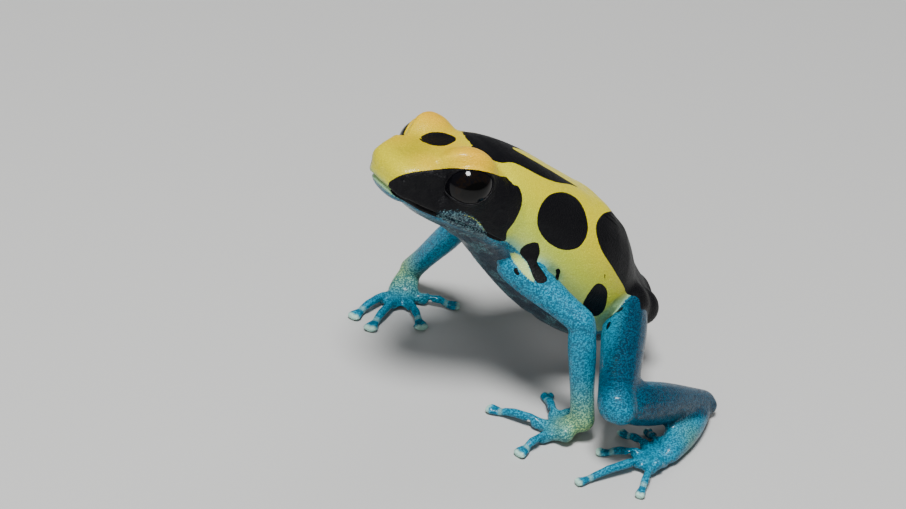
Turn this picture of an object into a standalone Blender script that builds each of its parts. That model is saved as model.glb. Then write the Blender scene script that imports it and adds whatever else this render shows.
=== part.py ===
"""A poison dart frog, life size, sitting alert on straight arms with its hind legs folded.

The file works in millimetres and each finished node is scaled to metres. +Z is up, the floor is
z = 0, the frog faces -Y and its left side is +X. While it is built, the origin is on the floor
under the nape; at the end the whole frog moves so that the origin is the centre of its box at floor
level. Every part of the body is a closed solid of its own, and neighbours keep GAP between them.
"""

import functools
import math

import bmesh
import bpy
import numpy as np
from mathutils import Matrix, Vector

METRES = 0.001
GAP = 0.3
SIDES = {"left": 1.0, "right": -1.0}

# Trunk sections, from the snout to the vent. Each is a slice of the body in the frame's middle
# plane: (back point y, z), (belly point y, z), half width, and how square the upper half is.
SECTIONS = {
    "nostrils": ((-7.7, 25.4), (-7.1, 21.6), 2.85, 3.0),
    "snout": ((-5.5, 25.85), (-4.9, 19.5), 3.95, 3.0),
    "eyes": ((-2.5, 25.85), (-2.0, 17.8), 5.2, 3.0),
    "jaw": ((0.8, 25.2), (0.2, 16.1), 6.0, 2.6),
    "neck": ((3.6, 24.4), (1.8, 13.9), 5.9, 2.4),
    "shoulders": ((6.6, 22.9), (3.6, 11.6), 6.1, 2.4),
    "chest": ((9.8, 20.8), (6.0, 8.9), 6.5, 2.4),
    "waist": ((13.1, 18.6), (9.1, 6.2), 6.6, 2.5),
    "sacrum": ((16.1, 15.9), (12.8, 3.9), 5.9, 2.5),
    "hips": ((18.2, 11.9), (16.6, 2.5), 4.4, 2.0),
    "tail_base": ((20.6, 8.5), (19.8, 2.9), 2.9, 2.0),
}
SNOUT_CAP = 1.15
VENT_CAP = 1.5
WIDEST_LEVEL = 0.47
LOWER_SQUARENESS = 2.0
SECTION_SIDES = 36
RINGS_PER_SECTION = 2
CAP_RINGS = 4

# The neck cut leans back from the nape to the throat, behind the angle of the jaw.
NECK_CUT = ((0.0, 4.0, 19.0), (0.0, 0.93, 0.36))

# The head looks a little to the frog's left. Everything before FULL_TURN turns about the pivot by the
# whole angle and shifts by the whole step (x, y), and everything behind NO_TURN stays where it is.
HEAD_TURN = 4.0
TURN_PIVOT = 3.0
TURN_STEP = (-0.18, -0.2)
FULL_TURN = -1.5
NO_TURN = 4.5

# Head features, left side.
EYE_CENTRE = Vector((3.5, -2.3, 23.6))
EYE_RADIUS = 2.2
EYE_AIM = Vector((0.93, -0.22, 0.14)).normalized()
LID_THICKNESS = 0.45
LID_LIFT = 0.22
LID_OPENING = 2.0
LID_OPENING_HEIGHT = 1.72
LID_LENGTHEN = 1.06
SOCKET_REACH = 6.0
SOCKET_FLARE = 1.15
NOSTRIL = Vector((2.3, -8.1, 24.2))
NOSTRIL_RADIUS = 0.33
EARDRUM = Vector((6.1, 0.3, 20.9))
EARDRUM_RADIUS = 1.0
EARDRUM_GROOVE = 0.2
MOUTH_LINE = ((-12.0, 23.2), (-9.0, 22.75), (-6.0, 21.7), (-3.0, 20.45), (-0.4, 19.2), (0.6, 18.4))
MOUTH_GAP = 0.28
MOUTH_DEPTH = 0.6
MOUTH_SAMPLES = 11
MOUTH_REACH = 9.0
LIP_HEIGHT = 1.2
LIP_SWELL = 0.16

# Arms: joints and radii. A joint is (x, y, z), with the side's sign already in x. Each digit has its
# root (x, y, z) and, on the floor, the tip of its disc (x, y).
ARMS = {
    "left": {
        "shoulder": (4.4, 3.5, 15.1),
        "elbow": (10.1, 7.8, 11.6),
        "wrist": (11.7, 8.5, 2.2),
        "palm": (10.6, 7.0, 0.7),
        "fingers": (
            ((8.9, 8.2, 0.6), (7.6, 11.6)),
            ((9.0, 7.4, 0.7), (4.9, 9.0)),
            ((9.4, 6.0, 0.7), (5.2, 2.9)),
            ((10.9, 5.6, 0.7), (12.2, 2.0)),
        ),
    },
    "right": {
        "shoulder": (-4.4, 3.5, 15.1),
        "elbow": (-9.9, 6.5, 10.3),
        "wrist": (-15.6, 5.3, 2.5),
        "palm": (-14.5, 3.9, 0.7),
        "fingers": (
            ((-13.4, 5.0, 0.6), (-11.3, 8.3)),
            ((-13.0, 3.8, 0.7), (-8.9, 3.3)),
            ((-13.4, 2.7, 0.7), (-10.2, -1.6)),
            ((-14.5, 2.3, 0.7), (-12.6, -2.2)),
        ),
    },
}
UPPER_ARM_RADII = (1.7, 1.7, 1.5, 1.3, 1.25)
FOREARM_RADII = (1.2, 1.3, 1.2, 1.1, 1.15)
PALM_THICKNESS = 1.0
FINGER_RADIUS = 0.45
FINGER_DISC = (0.7, 0.38)

# The palm and sole: half width and half height at the joint and in the middle, as shares of their
# thickness, and the same of the ray of flesh that reaches to each digit's root.
PAD_AT_JOINT = (1.15, 1.0)
PAD_AT_MIDDLE = (1.5, 0.8)
RAY_AT_MIDDLE = (0.8, 0.7)
RAY_AT_ROOT = (1.35, 1.2)
RAY_REACH = 0.7

# A digit between its root and its disc: (share of its length, lift in mm, half width and half height
# as shares of its radius). Its root is sunk into the pad, and its disc widens just before the tip.
DIGIT_SINK = 0.6
DIGIT_ROOT = (1.25, 1.1)
DIGIT_BENDS = ((0.35, 0.35, 1.05, 1.0), (0.7, 0.2, 0.9, 0.85))
DISC_NECK = (1.7, 0.85, 0.75)
DISC_MIDDLE = 0.6
DISC_END = 0.9

# Hind legs, as for the arms. The sole lies between the instep and the toes.
LEGS = {
    "left": {
        "hip": (3.4, 17.2, 8.2),
        "knee": (16.0, 8.7, 6.6),
        "heel": (11.6, 21.6, 1.3),
        "instep": (17.2, 14.4, 1.0),
        "sole": (17.2, 13.2, 0.65),
        "toes": (
            ((15.9, 14.2, 0.7), (12.9, 15.0)),
            ((15.9, 13.4, 0.7), (12.3, 12.6)),
            ((16.4, 12.4, 0.7), (14.3, 9.0)),
            ((17.3, 11.8, 0.8), (17.7, 4.9)),
            ((18.1, 12.1, 0.8), (21.1, 9.1)),
        ),
    },
    "right": {
        "hip": (-3.4, 17.2, 8.2),
        "knee": (-18.6, 15.9, 6.9),
        "heel": (-8.2, 24.4, 1.3),
        "instep": (-15.6, 19.9, 1.0),
        "sole": (-16.7, 19.3, 0.65),
        "toes": (
            ((-15.2, 18.7, 0.7), (-13.5, 16.0)),
            ((-15.9, 18.3, 0.7), (-15.9, 14.7)),
            ((-16.9, 18.4, 0.7), (-19.6, 14.9)),
            ((-17.9, 18.9, 0.8), (-25.0, 16.6)),
            ((-18.0, 19.9, 0.8), (-22.0, 21.2)),
        ),
    },
}
THIGH_RADII = (1.9, 2.1, 2.0, 1.85, 1.75)
SHANK_RADII = (1.5, 2.0, 1.95, 1.6, 1.2)
TARSUS_RADII = (1.1, 1.4, 1.55, 1.4, 1.05)
TARSUS_FLATNESS = 0.95
SOLE_THICKNESS = 0.9
TOE_RADIUS = 0.42
TOE_DISC = (0.52, 0.36)
DISC_PRESS = 0.86
LIMB_SIDES = 14
LIMB_RINGS = 9
PAD_RINGS = 5
RAY_RINGS = 3
DIGIT_SIDES = 8
DIGIT_RINGS = 8
END_TURNS = (30.0, 60.0)

# The photo's colours: (red, green, blue), roughness.
FINISHES = {
    "skin_yellow": ((0.82, 0.70, 0.10), 0.35),
    "skin_blue": ((0.02, 0.27, 0.40), 0.35),
    "skin_cyan": ((0.05, 0.42, 0.50), 0.35),
    "skin_pale_green": ((0.38, 0.55, 0.33), 0.4),
    "eye_black": ((0.004, 0.004, 0.006), 0.08),
}


def smooth_through(values, samples):
    """Rows of numbers on a smooth curve through the given rows, first and last included."""
    rows = np.array(values, float)
    padded = np.vstack([2 * rows[0] - rows[1], rows, 2 * rows[-1] - rows[-2]])
    places = np.linspace(0, len(rows) - 1, samples)
    out = []
    for place in places:
        start = min(int(place), len(rows) - 2)
        t = place - start
        a, b, c, d = padded[start : start + 4]
        square = 2 * a - 5 * b + 4 * c - d
        cube = 3 * b - a - 3 * c + d
        out.append(0.5 * (2 * b + (c - a) * t + square * t**2 + cube * t**3))
    return np.array(out)


def signed_power(value, power):
    """The power of a number's size, with the number's sign."""
    return math.copysign(abs(value) ** power, value)


def new_object(name, mesh):
    """An object in the scene for a mesh."""
    obj = bpy.data.objects.new(name, mesh)
    bpy.context.scene.collection.objects.link(obj)
    return obj


def loft(name, rings, first_pole, last_pole):
    """A closed solid through rings of points, closed at each end by a fan to a pole."""
    form = bmesh.new()
    rows = [[form.verts.new(point) for point in ring] for ring in rings]
    sides = len(rows[0])
    start = form.verts.new(first_pole)
    end = form.verts.new(last_pole)
    for here, there in zip(rows, rows[1:]):
        for k in range(sides):
            form.faces.new((here[k], here[(k + 1) % sides], there[(k + 1) % sides], there[k]))
    for k in range(sides):
        form.faces.new((start, rows[0][(k + 1) % sides], rows[0][k]))
        form.faces.new((end, rows[-1][k], rows[-1][(k + 1) % sides]))
    bmesh.ops.recalc_face_normals(form, faces=form.faces)
    mesh = bpy.data.meshes.new(name)
    form.to_mesh(mesh)
    form.free()
    return new_object(name, mesh)


def tube(name, stations, sides, rings, up=(0.0, 0.0, 1.0), grow=0.0):
    """A closed limb along stations of (point, half width, half height), with rounded ends.

    Its width lies across `up` and its height along it. `grow` fattens it all over.
    """
    table = [[*point, half_width + grow, half_height + grow] for point, half_width, half_height in stations]
    rows = smooth_through(table, rings)
    points = [Vector(row[:3]) for row in rows]
    tangents = []
    for k in range(rings):
        ahead = points[min(k + 1, rings - 1)]
        behind = points[max(k - 1, 0)]
        tangents.append((ahead - behind).normalized())

    def ring(k, turn=0.0, sign=0.0):
        """The ring at row k, or one that slides on from it and shrinks to round the end off."""
        reach = min(rows[k][3], rows[k][4])
        centre = points[k] + tangents[k] * sign * reach * math.sin(turn)
        across = tangents[k].cross(Vector(up)).normalized()
        above = across.cross(tangents[k]).normalized()
        around = [2 * math.pi * step / sides for step in range(sides)]
        return [
            centre
            + across * rows[k][3] * math.cos(turn) * math.cos(angle)
            + above * rows[k][4] * math.cos(turn) * math.sin(angle)
            for angle in around
        ]

    last = rings - 1
    turns = [math.radians(turn) for turn in END_TURNS]
    start_cap = [ring(0, turn, -1.0) for turn in reversed(turns)]
    end_cap = [ring(last, turn, 1.0) for turn in turns]
    start = points[0] - tangents[0] * min(rows[0][3], rows[0][4])
    end = points[last] + tangents[last] * min(rows[last][3], rows[last][4])
    return loft(name, start_cap + [ring(k) for k in range(rings)] + end_cap, start, end)


def ball(name, centre, radius, sides=24, rings=14, axis=None, stretch=1.0):
    """A closed ball, or an egg stretched along an axis."""
    form = bmesh.new()
    bmesh.ops.create_uvsphere(form, u_segments=sides, v_segments=rings, radius=radius)
    if axis is not None:
        turn = Vector(axis).to_track_quat("Z", "Y").to_matrix().to_4x4()
        bmesh.ops.transform(form, matrix=turn @ Matrix.Diagonal((1, 1, stretch, 1)), verts=form.verts)
    bmesh.ops.translate(form, vec=Vector(centre), verts=form.verts)
    mesh = bpy.data.meshes.new(name)
    form.to_mesh(mesh)
    form.free()
    return new_object(name, mesh)


def copy_of(obj, grow=0.0):
    """A copy of an object, with its surface moved outwards by `grow`."""
    copy = obj.copy()
    copy.data = obj.data.copy()
    bpy.context.scene.collection.objects.link(copy)
    if grow:
        normals = [vertex.normal.copy() for vertex in copy.data.vertices]
        for vertex, normal in zip(copy.data.vertices, normals):
            vertex.co += normal * grow
    return copy


def discard(*objects):
    """Takes helper objects out of the scene."""
    for obj in objects:
        bpy.data.objects.remove(obj)


def boolean(target, other, operation):
    """Cuts, joins or intersects target with other, and uses other up."""
    modifier = target.modifiers.new(operation.lower(), "BOOLEAN")
    modifier.object = other
    modifier.operation = operation
    modifier.solver = "EXACT"
    bpy.context.view_layer.update()
    graph = bpy.context.evaluated_depsgraph_get()
    mesh = bpy.data.meshes.new_from_object(target.evaluated_get(graph))
    target.modifiers.clear()
    target.data = mesh
    discard(other)
    return target


def keep_half(target, point, normal):
    """Keeps the half of target behind a plane, and closes the cut."""
    form = bmesh.new()
    form.from_mesh(target.data)
    cut = bmesh.ops.bisect_plane(
        form,
        geom=form.verts[:] + form.edges[:] + form.faces[:],
        plane_co=Vector(point),
        plane_no=Vector(normal).normalized(),
        clear_outer=True,
    )
    edges = [item for item in cut["geom_cut"] if isinstance(item, bmesh.types.BMEdge)]
    bmesh.ops.holes_fill(form, edges=edges, sides=0)
    bmesh.ops.triangulate(form, faces=[face for face in form.faces if len(face.verts) > 4])
    form.to_mesh(target.data)
    form.free()
    return target


def keep_largest(target):
    """Keeps only the largest closed surface of a node, with its faces outwards."""
    form = bmesh.new()
    form.from_mesh(target.data)
    left = set(form.verts)
    islands = []
    while left:
        island = set()
        queue = [left.pop()]
        while queue:
            vertex = queue.pop()
            island.add(vertex)
            for edge in vertex.link_edges:
                other = edge.other_vert(vertex)
                if other in left:
                    left.remove(other)
                    queue.append(other)
        islands.append(island)
    islands.sort(key=len, reverse=True)
    for island in islands[1:]:
        bmesh.ops.delete(form, geom=list(island), context="VERTS")
    bmesh.ops.recalc_face_normals(form, faces=form.faces)
    form.to_mesh(target.data)
    form.free()
    return target


def trunk_rings():
    """The rings of the whole trunk from snout to vent, and its two poles."""
    rows = [[*back, *belly, half_width, square] for back, belly, half_width, square in SECTIONS.values()]
    sampled = smooth_through(rows, (len(rows) - 1) * RINGS_PER_SECTION + 1)

    def ring(row, shrink=1.0, shift=(0.0, 0.0)):
        back = Vector((0.0, row[0] + shift[0], row[1] + shift[1]))
        belly = Vector((0.0, row[2] + shift[0], row[3] + shift[1]))
        centre = belly.lerp(back, WIDEST_LEVEL)
        above = (back - centre) * shrink
        below = (belly - centre) * shrink
        points = []
        for k in range(SECTION_SIDES):
            angle = 2 * math.pi * k / SECTION_SIDES
            upper = math.sin(angle) >= 0
            power = 2.0 / (row[5] if upper else LOWER_SQUARENESS)
            across = row[4] * shrink * signed_power(math.cos(angle), power)
            rise = abs(math.sin(angle)) ** power
            points.append(centre + Vector((across, 0.0, 0.0)) + (above if upper else below) * rise)
        return points

    def outward(row, sign):
        back, belly = Vector((row[0], row[1])), Vector((row[2], row[3]))
        run = (back - belly).normalized()
        return Vector((run.y, -run.x)) * sign

    rings = [ring(row) for row in sampled]
    poles = []
    for row, sign, reach in ((sampled[0], -1.0, SNOUT_CAP), (sampled[-1], 1.0, VENT_CAP)):
        way = outward(row, sign)
        cap = []
        for k in range(1, CAP_RINGS):
            turn = math.radians(90 * k / CAP_RINGS)
            cap.append(ring(row, math.cos(turn), way * reach * math.sin(turn)))
        middle = Vector((row[2], row[3])).lerp(Vector((row[0], row[1])), WIDEST_LEVEL) + way * reach
        poles.append(Vector((0.0, middle.x, middle.y)))
        rings = cap[::-1] + rings if sign < 0 else rings + cap
    return rings, poles


def trunk(name):
    """The whole trunk and head as one plain solid."""
    rings, (snout, vent) = trunk_rings()
    return loft(name, rings, snout, vent)


def mirrored(vector, side):
    """A left-side place or direction on the given side."""
    return Vector((vector[0] * SIDES[side], vector[1], vector[2]))


def turned(point):
    """Where a place on the straight trunk lies once the head is turned."""
    t = min(1.0, max(0.0, (NO_TURN - point.y) / (NO_TURN - FULL_TURN)))
    share = t * t * (3.0 - 2.0 * t)
    angle = math.radians(HEAD_TURN) * share
    ahead = point.y - TURN_PIVOT
    return Vector((
        point.x * math.cos(angle) - ahead * math.sin(angle) + TURN_STEP[0] * share,
        TURN_PIVOT + point.x * math.sin(angle) + ahead * math.cos(angle) + TURN_STEP[1] * share,
        point.z,
    ))


def turn_head(obj):
    """Turns the part of an object that lies in the head."""
    for vertex in obj.data.vertices:
        vertex.co = turned(vertex.co)
    return obj


def mouth_sheet(thickness):
    """A sheet that follows the line of the mouth right across the head, thinner at its back end."""
    line = smooth_through(MOUTH_LINE, MOUTH_SAMPLES)
    form = bmesh.new()
    rows = []
    for k, (y, z) in enumerate(line):
        taper = min(1.0, (len(line) - k) / 4)
        for lift in (-0.5, 0.5):
            height = z + thickness * lift * taper
            rows.append([form.verts.new((x, y, height)) for x in (-MOUTH_REACH, MOUTH_REACH)])
    for k in range(0, len(rows) - 2, 2):
        low, high, next_low, next_high = rows[k : k + 4]
        form.faces.new((low[0], low[1], next_low[1], next_low[0]))
        form.faces.new((high[0], next_high[0], next_high[1], high[1]))
        form.faces.new((low[0], next_low[0], next_high[0], high[0]))
        form.faces.new((low[1], high[1], next_high[1], next_low[1]))
    for low, high in ((rows[0], rows[1]), (rows[-2], rows[-1])):
        form.faces.new((low[0], high[0], high[1], low[1]))
    bmesh.ops.recalc_face_normals(form, faces=form.faces)
    mesh = bpy.data.meshes.new("mouth_sheet")
    form.to_mesh(mesh)
    form.free()
    return new_object("mouth_sheet", mesh)


def eardrum_ring(side, whole):
    """A thin ring that scores the edge of the eardrum into the side of the head."""
    _, centre, normal, _ = whole.closest_point_on_mesh(mirrored(EARDRUM, side))
    turn = normal.to_track_quat("Z", "Y")
    around, about = 20, 6
    form = bmesh.new()
    grid = []
    for i in range(around):
        angle = 2 * math.pi * i / around
        row = []
        for j in range(about):
            lean = 2 * math.pi * j / about
            reach = EARDRUM_RADIUS + EARDRUM_GROOVE * math.cos(lean)
            place = Vector((reach * math.cos(angle), reach * math.sin(angle), EARDRUM_GROOVE * math.sin(lean)))
            row.append(form.verts.new(centre + turn @ place))
        grid.append(row)
    for i in range(around):
        here, there = grid[i], grid[(i + 1) % around]
        for j in range(about):
            form.faces.new((here[j], there[j], there[(j + 1) % about], here[(j + 1) % about]))
    bmesh.ops.recalc_face_normals(form, faces=form.faces)
    mesh = bpy.data.meshes.new("eardrum_ring")
    form.to_mesh(mesh)
    form.free()
    return new_object("eardrum_ring", mesh)


def make_head(whole):
    """The head, with domed lids over open eye sockets, nostrils, eardrums, lips and the mouth's line."""
    point = Vector(NECK_CUT[0])
    normal = Vector(NECK_CUT[1]).normalized()
    head = keep_half(copy_of(whole), point - normal * GAP / 2, normal)
    head.name = "head"
    lips = boolean(mouth_sheet(LIP_HEIGHT), copy_of(whole, LIP_SWELL), "INTERSECT")
    boolean(head, lips, "UNION")
    for side in SIDES:
        centre = mirrored(EYE_CENTRE, side) + Vector((0.0, 0.0, LID_LIFT))
        radius = EYE_RADIUS + GAP + LID_THICKNESS
        boolean(head, ball("lid", centre, radius, axis=(0, 1, 0), stretch=LID_LENGTHEN), "UNION")
    for side in SIDES:
        centre = mirrored(EYE_CENTRE, side)
        aim = mirrored(EYE_AIM, side)
        opening = [
            (centre, LID_OPENING, LID_OPENING_HEIGHT),
            (centre + aim * SOCKET_REACH, LID_OPENING * SOCKET_FLARE, LID_OPENING_HEIGHT * SOCKET_FLARE),
        ]
        boolean(head, ball("socket", centre, EYE_RADIUS + GAP), "DIFFERENCE")
        boolean(head, tube("opening", opening, 24, 3), "DIFFERENCE")
        boolean(head, ball("nostril", mirrored(NOSTRIL, side), NOSTRIL_RADIUS, 10, 6), "DIFFERENCE")
        boolean(head, eardrum_ring(side, whole), "DIFFERENCE")
    line = boolean(mouth_sheet(MOUTH_GAP), copy_of(whole, -MOUTH_DEPTH), "DIFFERENCE")
    boolean(head, line, "DIFFERENCE")
    return keep_largest(head)


def limb(name, start, end, radii, up=(0.0, 0.0, 1.0), flat=1.0, grow=0.0):
    """A fleshy limb between two joints, thinned across its height by `flat`."""
    start = Vector(start)
    end = Vector(end)
    last = len(radii) - 1
    stations = [(start.lerp(end, k / last), radius, radius * flat) for k, radius in enumerate(radii)]
    return tube(name, stations, LIMB_SIDES, LIMB_RINGS, up, grow)


def digit(name, base, tip, radius, disc, grow=0.0):
    """A finger or toe that arches from its base to a disc pressed flat on the floor."""
    disc_width, disc_height = disc
    base = Vector(base)
    tip = Vector((*tip, disc_height * DISC_PRESS))
    way = (tip - base).normalized()
    neck, neck_width, neck_height = DISC_NECK
    stations = [(base - way * DIGIT_SINK, radius * DIGIT_ROOT[0], radius * DIGIT_ROOT[1])]
    for share, lift, width, height in DIGIT_BENDS:
        stations.append((base.lerp(tip, share) + Vector((0, 0, lift)), radius * width, radius * height))
    stations += [
        (tip - way * disc_width * neck, radius * neck_width, radius * neck_height),
        (tip - way * disc_width * DISC_MIDDLE, disc_width, disc_height),
        (tip, disc_width * DISC_END, disc_height * DISC_END),
    ]
    return tube(name, stations, DIGIT_SIDES, DIGIT_RINGS, grow=grow)


def pad(name, joint, middle, digits, thickness, grow=0.0):
    """The palm or sole: a flat fan of flesh from the joint to the roots of its digits."""
    joint = Vector(joint)
    middle = Vector(middle)
    stations = [
        (joint, thickness * PAD_AT_JOINT[0], thickness * PAD_AT_JOINT[1]),
        (middle, thickness * PAD_AT_MIDDLE[0], thickness * PAD_AT_MIDDLE[1]),
    ]
    form = tube(name, stations, LIMB_SIDES, PAD_RINGS, grow=grow)
    for base, tip in digits:
        base = Vector(base)
        way = (Vector((*tip, 0.0)) - base).normalized()
        ray = [
            (middle, thickness * RAY_AT_MIDDLE[0], thickness * RAY_AT_MIDDLE[1]),
            (base + way * RAY_REACH, FINGER_RADIUS * RAY_AT_ROOT[0], FINGER_RADIUS * RAY_AT_ROOT[1]),
        ]
        boolean(form, tube("ray", ray, DIGIT_SIDES, RAY_RINGS, grow=grow), "UNION")
    return keep_largest(form)


def carve(forms, digits, root):
    """Makes each form in turn, GAP clear of the one it grows from, and the digits from the last form."""
    pieces = [boolean(forms[0](), copy_of(root, GAP), "DIFFERENCE")]
    for before, form in zip(forms, forms[1:]):
        pieces.append(boolean(form(), before(grow=GAP), "DIFFERENCE"))
    for form in digits:
        pieces.append(boolean(form(), forms[-1](grow=GAP), "DIFFERENCE"))
    return [keep_largest(piece) for piece in pieces]


def stand_flat(pieces):
    """Cuts the small flats at floor level that the pieces rest on."""
    for piece in pieces:
        if min(vertex.co.z for vertex in piece.data.vertices) < 0:
            keep_half(piece, (0, 0, 0), (0, 0, -1))
    return pieces


def make_arm(side, whole):
    """One arm: upper arm, forearm, hand and four fingers."""
    joints = ARMS[side]
    elbow = joints["elbow"]
    wrist = joints["wrist"]
    fingers = joints["fingers"]
    forms = [
        functools.partial(limb, f"upper_arm_{side}", joints["shoulder"], elbow, UPPER_ARM_RADII),
        functools.partial(limb, f"forearm_{side}", elbow, wrist, FOREARM_RADII, (0, 1, 0)),
        functools.partial(pad, f"hand_{side}", wrist, joints["palm"], fingers, PALM_THICKNESS),
    ]
    digits = [
        functools.partial(digit, f"finger_{side}_{k + 1}", base, tip, FINGER_RADIUS, FINGER_DISC)
        for k, (base, tip) in enumerate(fingers)
    ]
    return stand_flat(carve(forms, digits, whole))


def make_leg(side, whole):
    """One hind leg: thigh, shank, tarsus, foot and five toes."""
    joints = LEGS[side]
    knee = joints["knee"]
    heel = joints["heel"]
    instep = joints["instep"]
    toes = joints["toes"]
    forms = [
        functools.partial(limb, f"thigh_{side}", joints["hip"], knee, THIGH_RADII),
        functools.partial(limb, f"shank_{side}", knee, heel, SHANK_RADII),
        functools.partial(limb, f"tarsus_{side}", heel, instep, TARSUS_RADII, flat=TARSUS_FLATNESS),
        functools.partial(pad, f"foot_{side}", instep, joints["sole"], toes, SOLE_THICKNESS),
    ]
    digits = [
        functools.partial(digit, f"toe_{side}_{k + 1}", base, tip, TOE_RADIUS, TOE_DISC)
        for k, (base, tip) in enumerate(toes)
    ]
    return stand_flat(carve(forms, digits, whole))


def material(finish):
    """The Principled material of a finish."""
    found = bpy.data.materials.get(finish)
    if found:
        return found
    colour, roughness = FINISHES[finish]
    made = bpy.data.materials.new(finish)
    made.use_nodes = True
    shader = made.node_tree.nodes["Principled BSDF"]
    shader.inputs["Base Color"].default_value = (*colour, 1.0)
    shader.inputs["Roughness"].default_value = roughness
    shader.inputs["Metallic"].default_value = 0.0
    return made


def limb_finish(name):
    """The finish of a limb's piece: pale hands, bright fingers and toes, blue for the rest."""
    if name.startswith("hand"):
        return "skin_pale_green"
    if name.startswith(("finger", "toe")):
        return "skin_cyan"
    return "skin_blue"


def finish_node(obj, finish, joint, frog):
    """Scales a node to metres, puts its origin on its joint, and gives it its finish and parent."""
    joint = Vector(joint)
    obj.data.transform(Matrix.Scale(METRES, 4) @ Matrix.Translation(-joint))
    obj.location = joint * METRES
    obj.parent = frog
    obj.data.materials.clear()
    obj.data.materials.append(material(finish))
    obj.data.shade_smooth()


def main():
    """Builds the frog and centres it over the origin."""
    for obj in list(bpy.data.objects):
        bpy.data.objects.remove(obj)
    frog = bpy.data.objects.new("frog", None)
    bpy.context.scene.collection.objects.link(frog)

    whole = trunk("whole")
    neck = Vector(NECK_CUT[0])
    normal = Vector(NECK_CUT[1]).normalized()
    torso = keep_half(copy_of(whole), neck + normal * GAP / 2, -normal)
    torso.name = "torso"
    finish_node(turn_head(make_head(whole)), "skin_yellow", neck, frog)
    turn_head(torso)
    turn_head(whole)
    for side in SIDES:
        eye_centre = turned(mirrored(EYE_CENTRE, side))
        eye = ball(f"eye_{side}", eye_centre, EYE_RADIUS, 20, 12)
        finish_node(eye, "eye_black", eye_centre, frog)
        for piece in make_arm(side, whole):
            finish_node(piece, limb_finish(piece.name), ARMS[side]["elbow"], frog)
        for piece in make_leg(side, whole):
            finish_node(piece, limb_finish(piece.name), LEGS[side]["knee"], frog)
    finish_node(torso, "skin_yellow", neck, frog)
    discard(whole)

    bpy.context.view_layer.update()
    corners = [
        obj.matrix_world @ vertex.co
        for obj in bpy.data.objects
        if obj.type == "MESH"
        for vertex in obj.data.vertices
    ]
    middle_x = (min(c.x for c in corners) + max(c.x for c in corners)) / 2
    middle_y = (min(c.y for c in corners) + max(c.y for c in corners)) / 2
    frog.location = (-middle_x, -middle_y, 0.0)


main()
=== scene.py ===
"""Dresses the poison dart frog: one moist granular skin, glossy eyes, a pale floor, soft light, a camera.

The frog is modelled in millimetres in its own frame: the floor is z = 0, the frog faces -Y and its left
side is +X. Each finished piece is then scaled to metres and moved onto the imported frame. The skin
starts as the frame's own flesh, swollen until neighbours meet, made one surface, smoothed and drawn
back in, so it keeps the outline that the frame gives. Ridges, furrows, lids and toe discs are then
worked into it, and its markings are laid on as distances that its material reads.
"""

import logging
import math
from dataclasses import dataclass, field
from enum import Enum
from typing import Any, Callable, Iterable, Sequence

import bmesh
import bpy
import numpy as np
from mathutils import Matrix, Vector
from mathutils.bvhtree import BVHTree

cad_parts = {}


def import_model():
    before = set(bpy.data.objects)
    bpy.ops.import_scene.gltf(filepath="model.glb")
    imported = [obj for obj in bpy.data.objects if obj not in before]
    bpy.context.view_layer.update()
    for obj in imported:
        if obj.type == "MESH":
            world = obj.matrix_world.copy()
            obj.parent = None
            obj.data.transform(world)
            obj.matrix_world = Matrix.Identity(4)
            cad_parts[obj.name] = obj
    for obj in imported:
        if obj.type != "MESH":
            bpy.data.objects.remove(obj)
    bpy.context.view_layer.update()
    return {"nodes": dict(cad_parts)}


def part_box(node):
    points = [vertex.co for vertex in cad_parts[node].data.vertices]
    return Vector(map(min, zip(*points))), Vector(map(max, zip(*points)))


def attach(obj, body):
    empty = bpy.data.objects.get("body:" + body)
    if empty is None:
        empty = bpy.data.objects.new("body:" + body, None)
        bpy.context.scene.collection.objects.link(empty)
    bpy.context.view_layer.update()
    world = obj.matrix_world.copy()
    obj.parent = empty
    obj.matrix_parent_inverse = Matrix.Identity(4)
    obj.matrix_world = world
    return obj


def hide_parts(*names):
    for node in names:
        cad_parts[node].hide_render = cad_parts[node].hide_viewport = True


LOG = logging.getLogger("frog")
MM = 0.001
EYE_CENTRE = Vector((3.5, -2.3, 23.6))
TRUNK_MIDDLE = Vector((0.0, 10.0, 14.0))
# Points closer than this are doubled, and no two places on the frog are as far apart as FAR, both in mm.
DOUBLED = 0.002
FAR = 99.0
TINY = 1e-12
WEIGHT_STEPS = 20
Thing = bpy.types.Object
Rows = np.ndarray
Point = tuple[float, float, float]
Flat = tuple[float, float]
Grain = tuple[float, int]


class Side(Enum):
    """The frog's two sides, as the sign of X."""

    LEFT = 1.0
    RIGHT = -1.0

    @property
    def word(self) -> str:
        """The side's name as the frame's nodes spell it."""
        return self.name.lower()

    def place(self, point: Sequence[float]) -> Vector:
        """A place or direction of the left side, on this side."""
        return Vector((point[0] * self.value, point[1], point[2]))

    def seen_from(self, points: Rows) -> Rows:
        """Points mirrored so that this side lies where the left side does."""
        return points * np.array((self.value, 1.0, 1.0))


class Region(Enum):
    """Parts of the frame's flesh, by the first word of their nodes' names."""

    TRUNK = ("head", "torso")
    ARM = ("upper_arm", "forearm", "hand")
    LEG = ("thigh", "shank", "tarsus", "foot")
    FINGERS = ("finger",)
    TOES = ("toe",)

    def nodes(self, names: Iterable[str], side: Side | None = None) -> list[str]:
        """The frame's nodes of this region.

        Args:
            names: The names of all the nodes.
            side: The side they are on, or None for both.

        Returns:
            The matching names, in order.
        """
        found = [name for name in sorted(names) if name.startswith(self.value)]
        if side is None:
            return found
        return [name for name in found if f"_{side.word}" in name]


def deselect() -> None:
    """Deselects every object."""
    for thing in bpy.context.selected_objects:
        thing.select_set(False)


def take(piece: Thing) -> Thing:
    """Makes a piece the only one selected, and the active one."""
    deselect()
    piece.select_set(True)
    bpy.context.view_layer.objects.active = piece
    return piece


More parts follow.
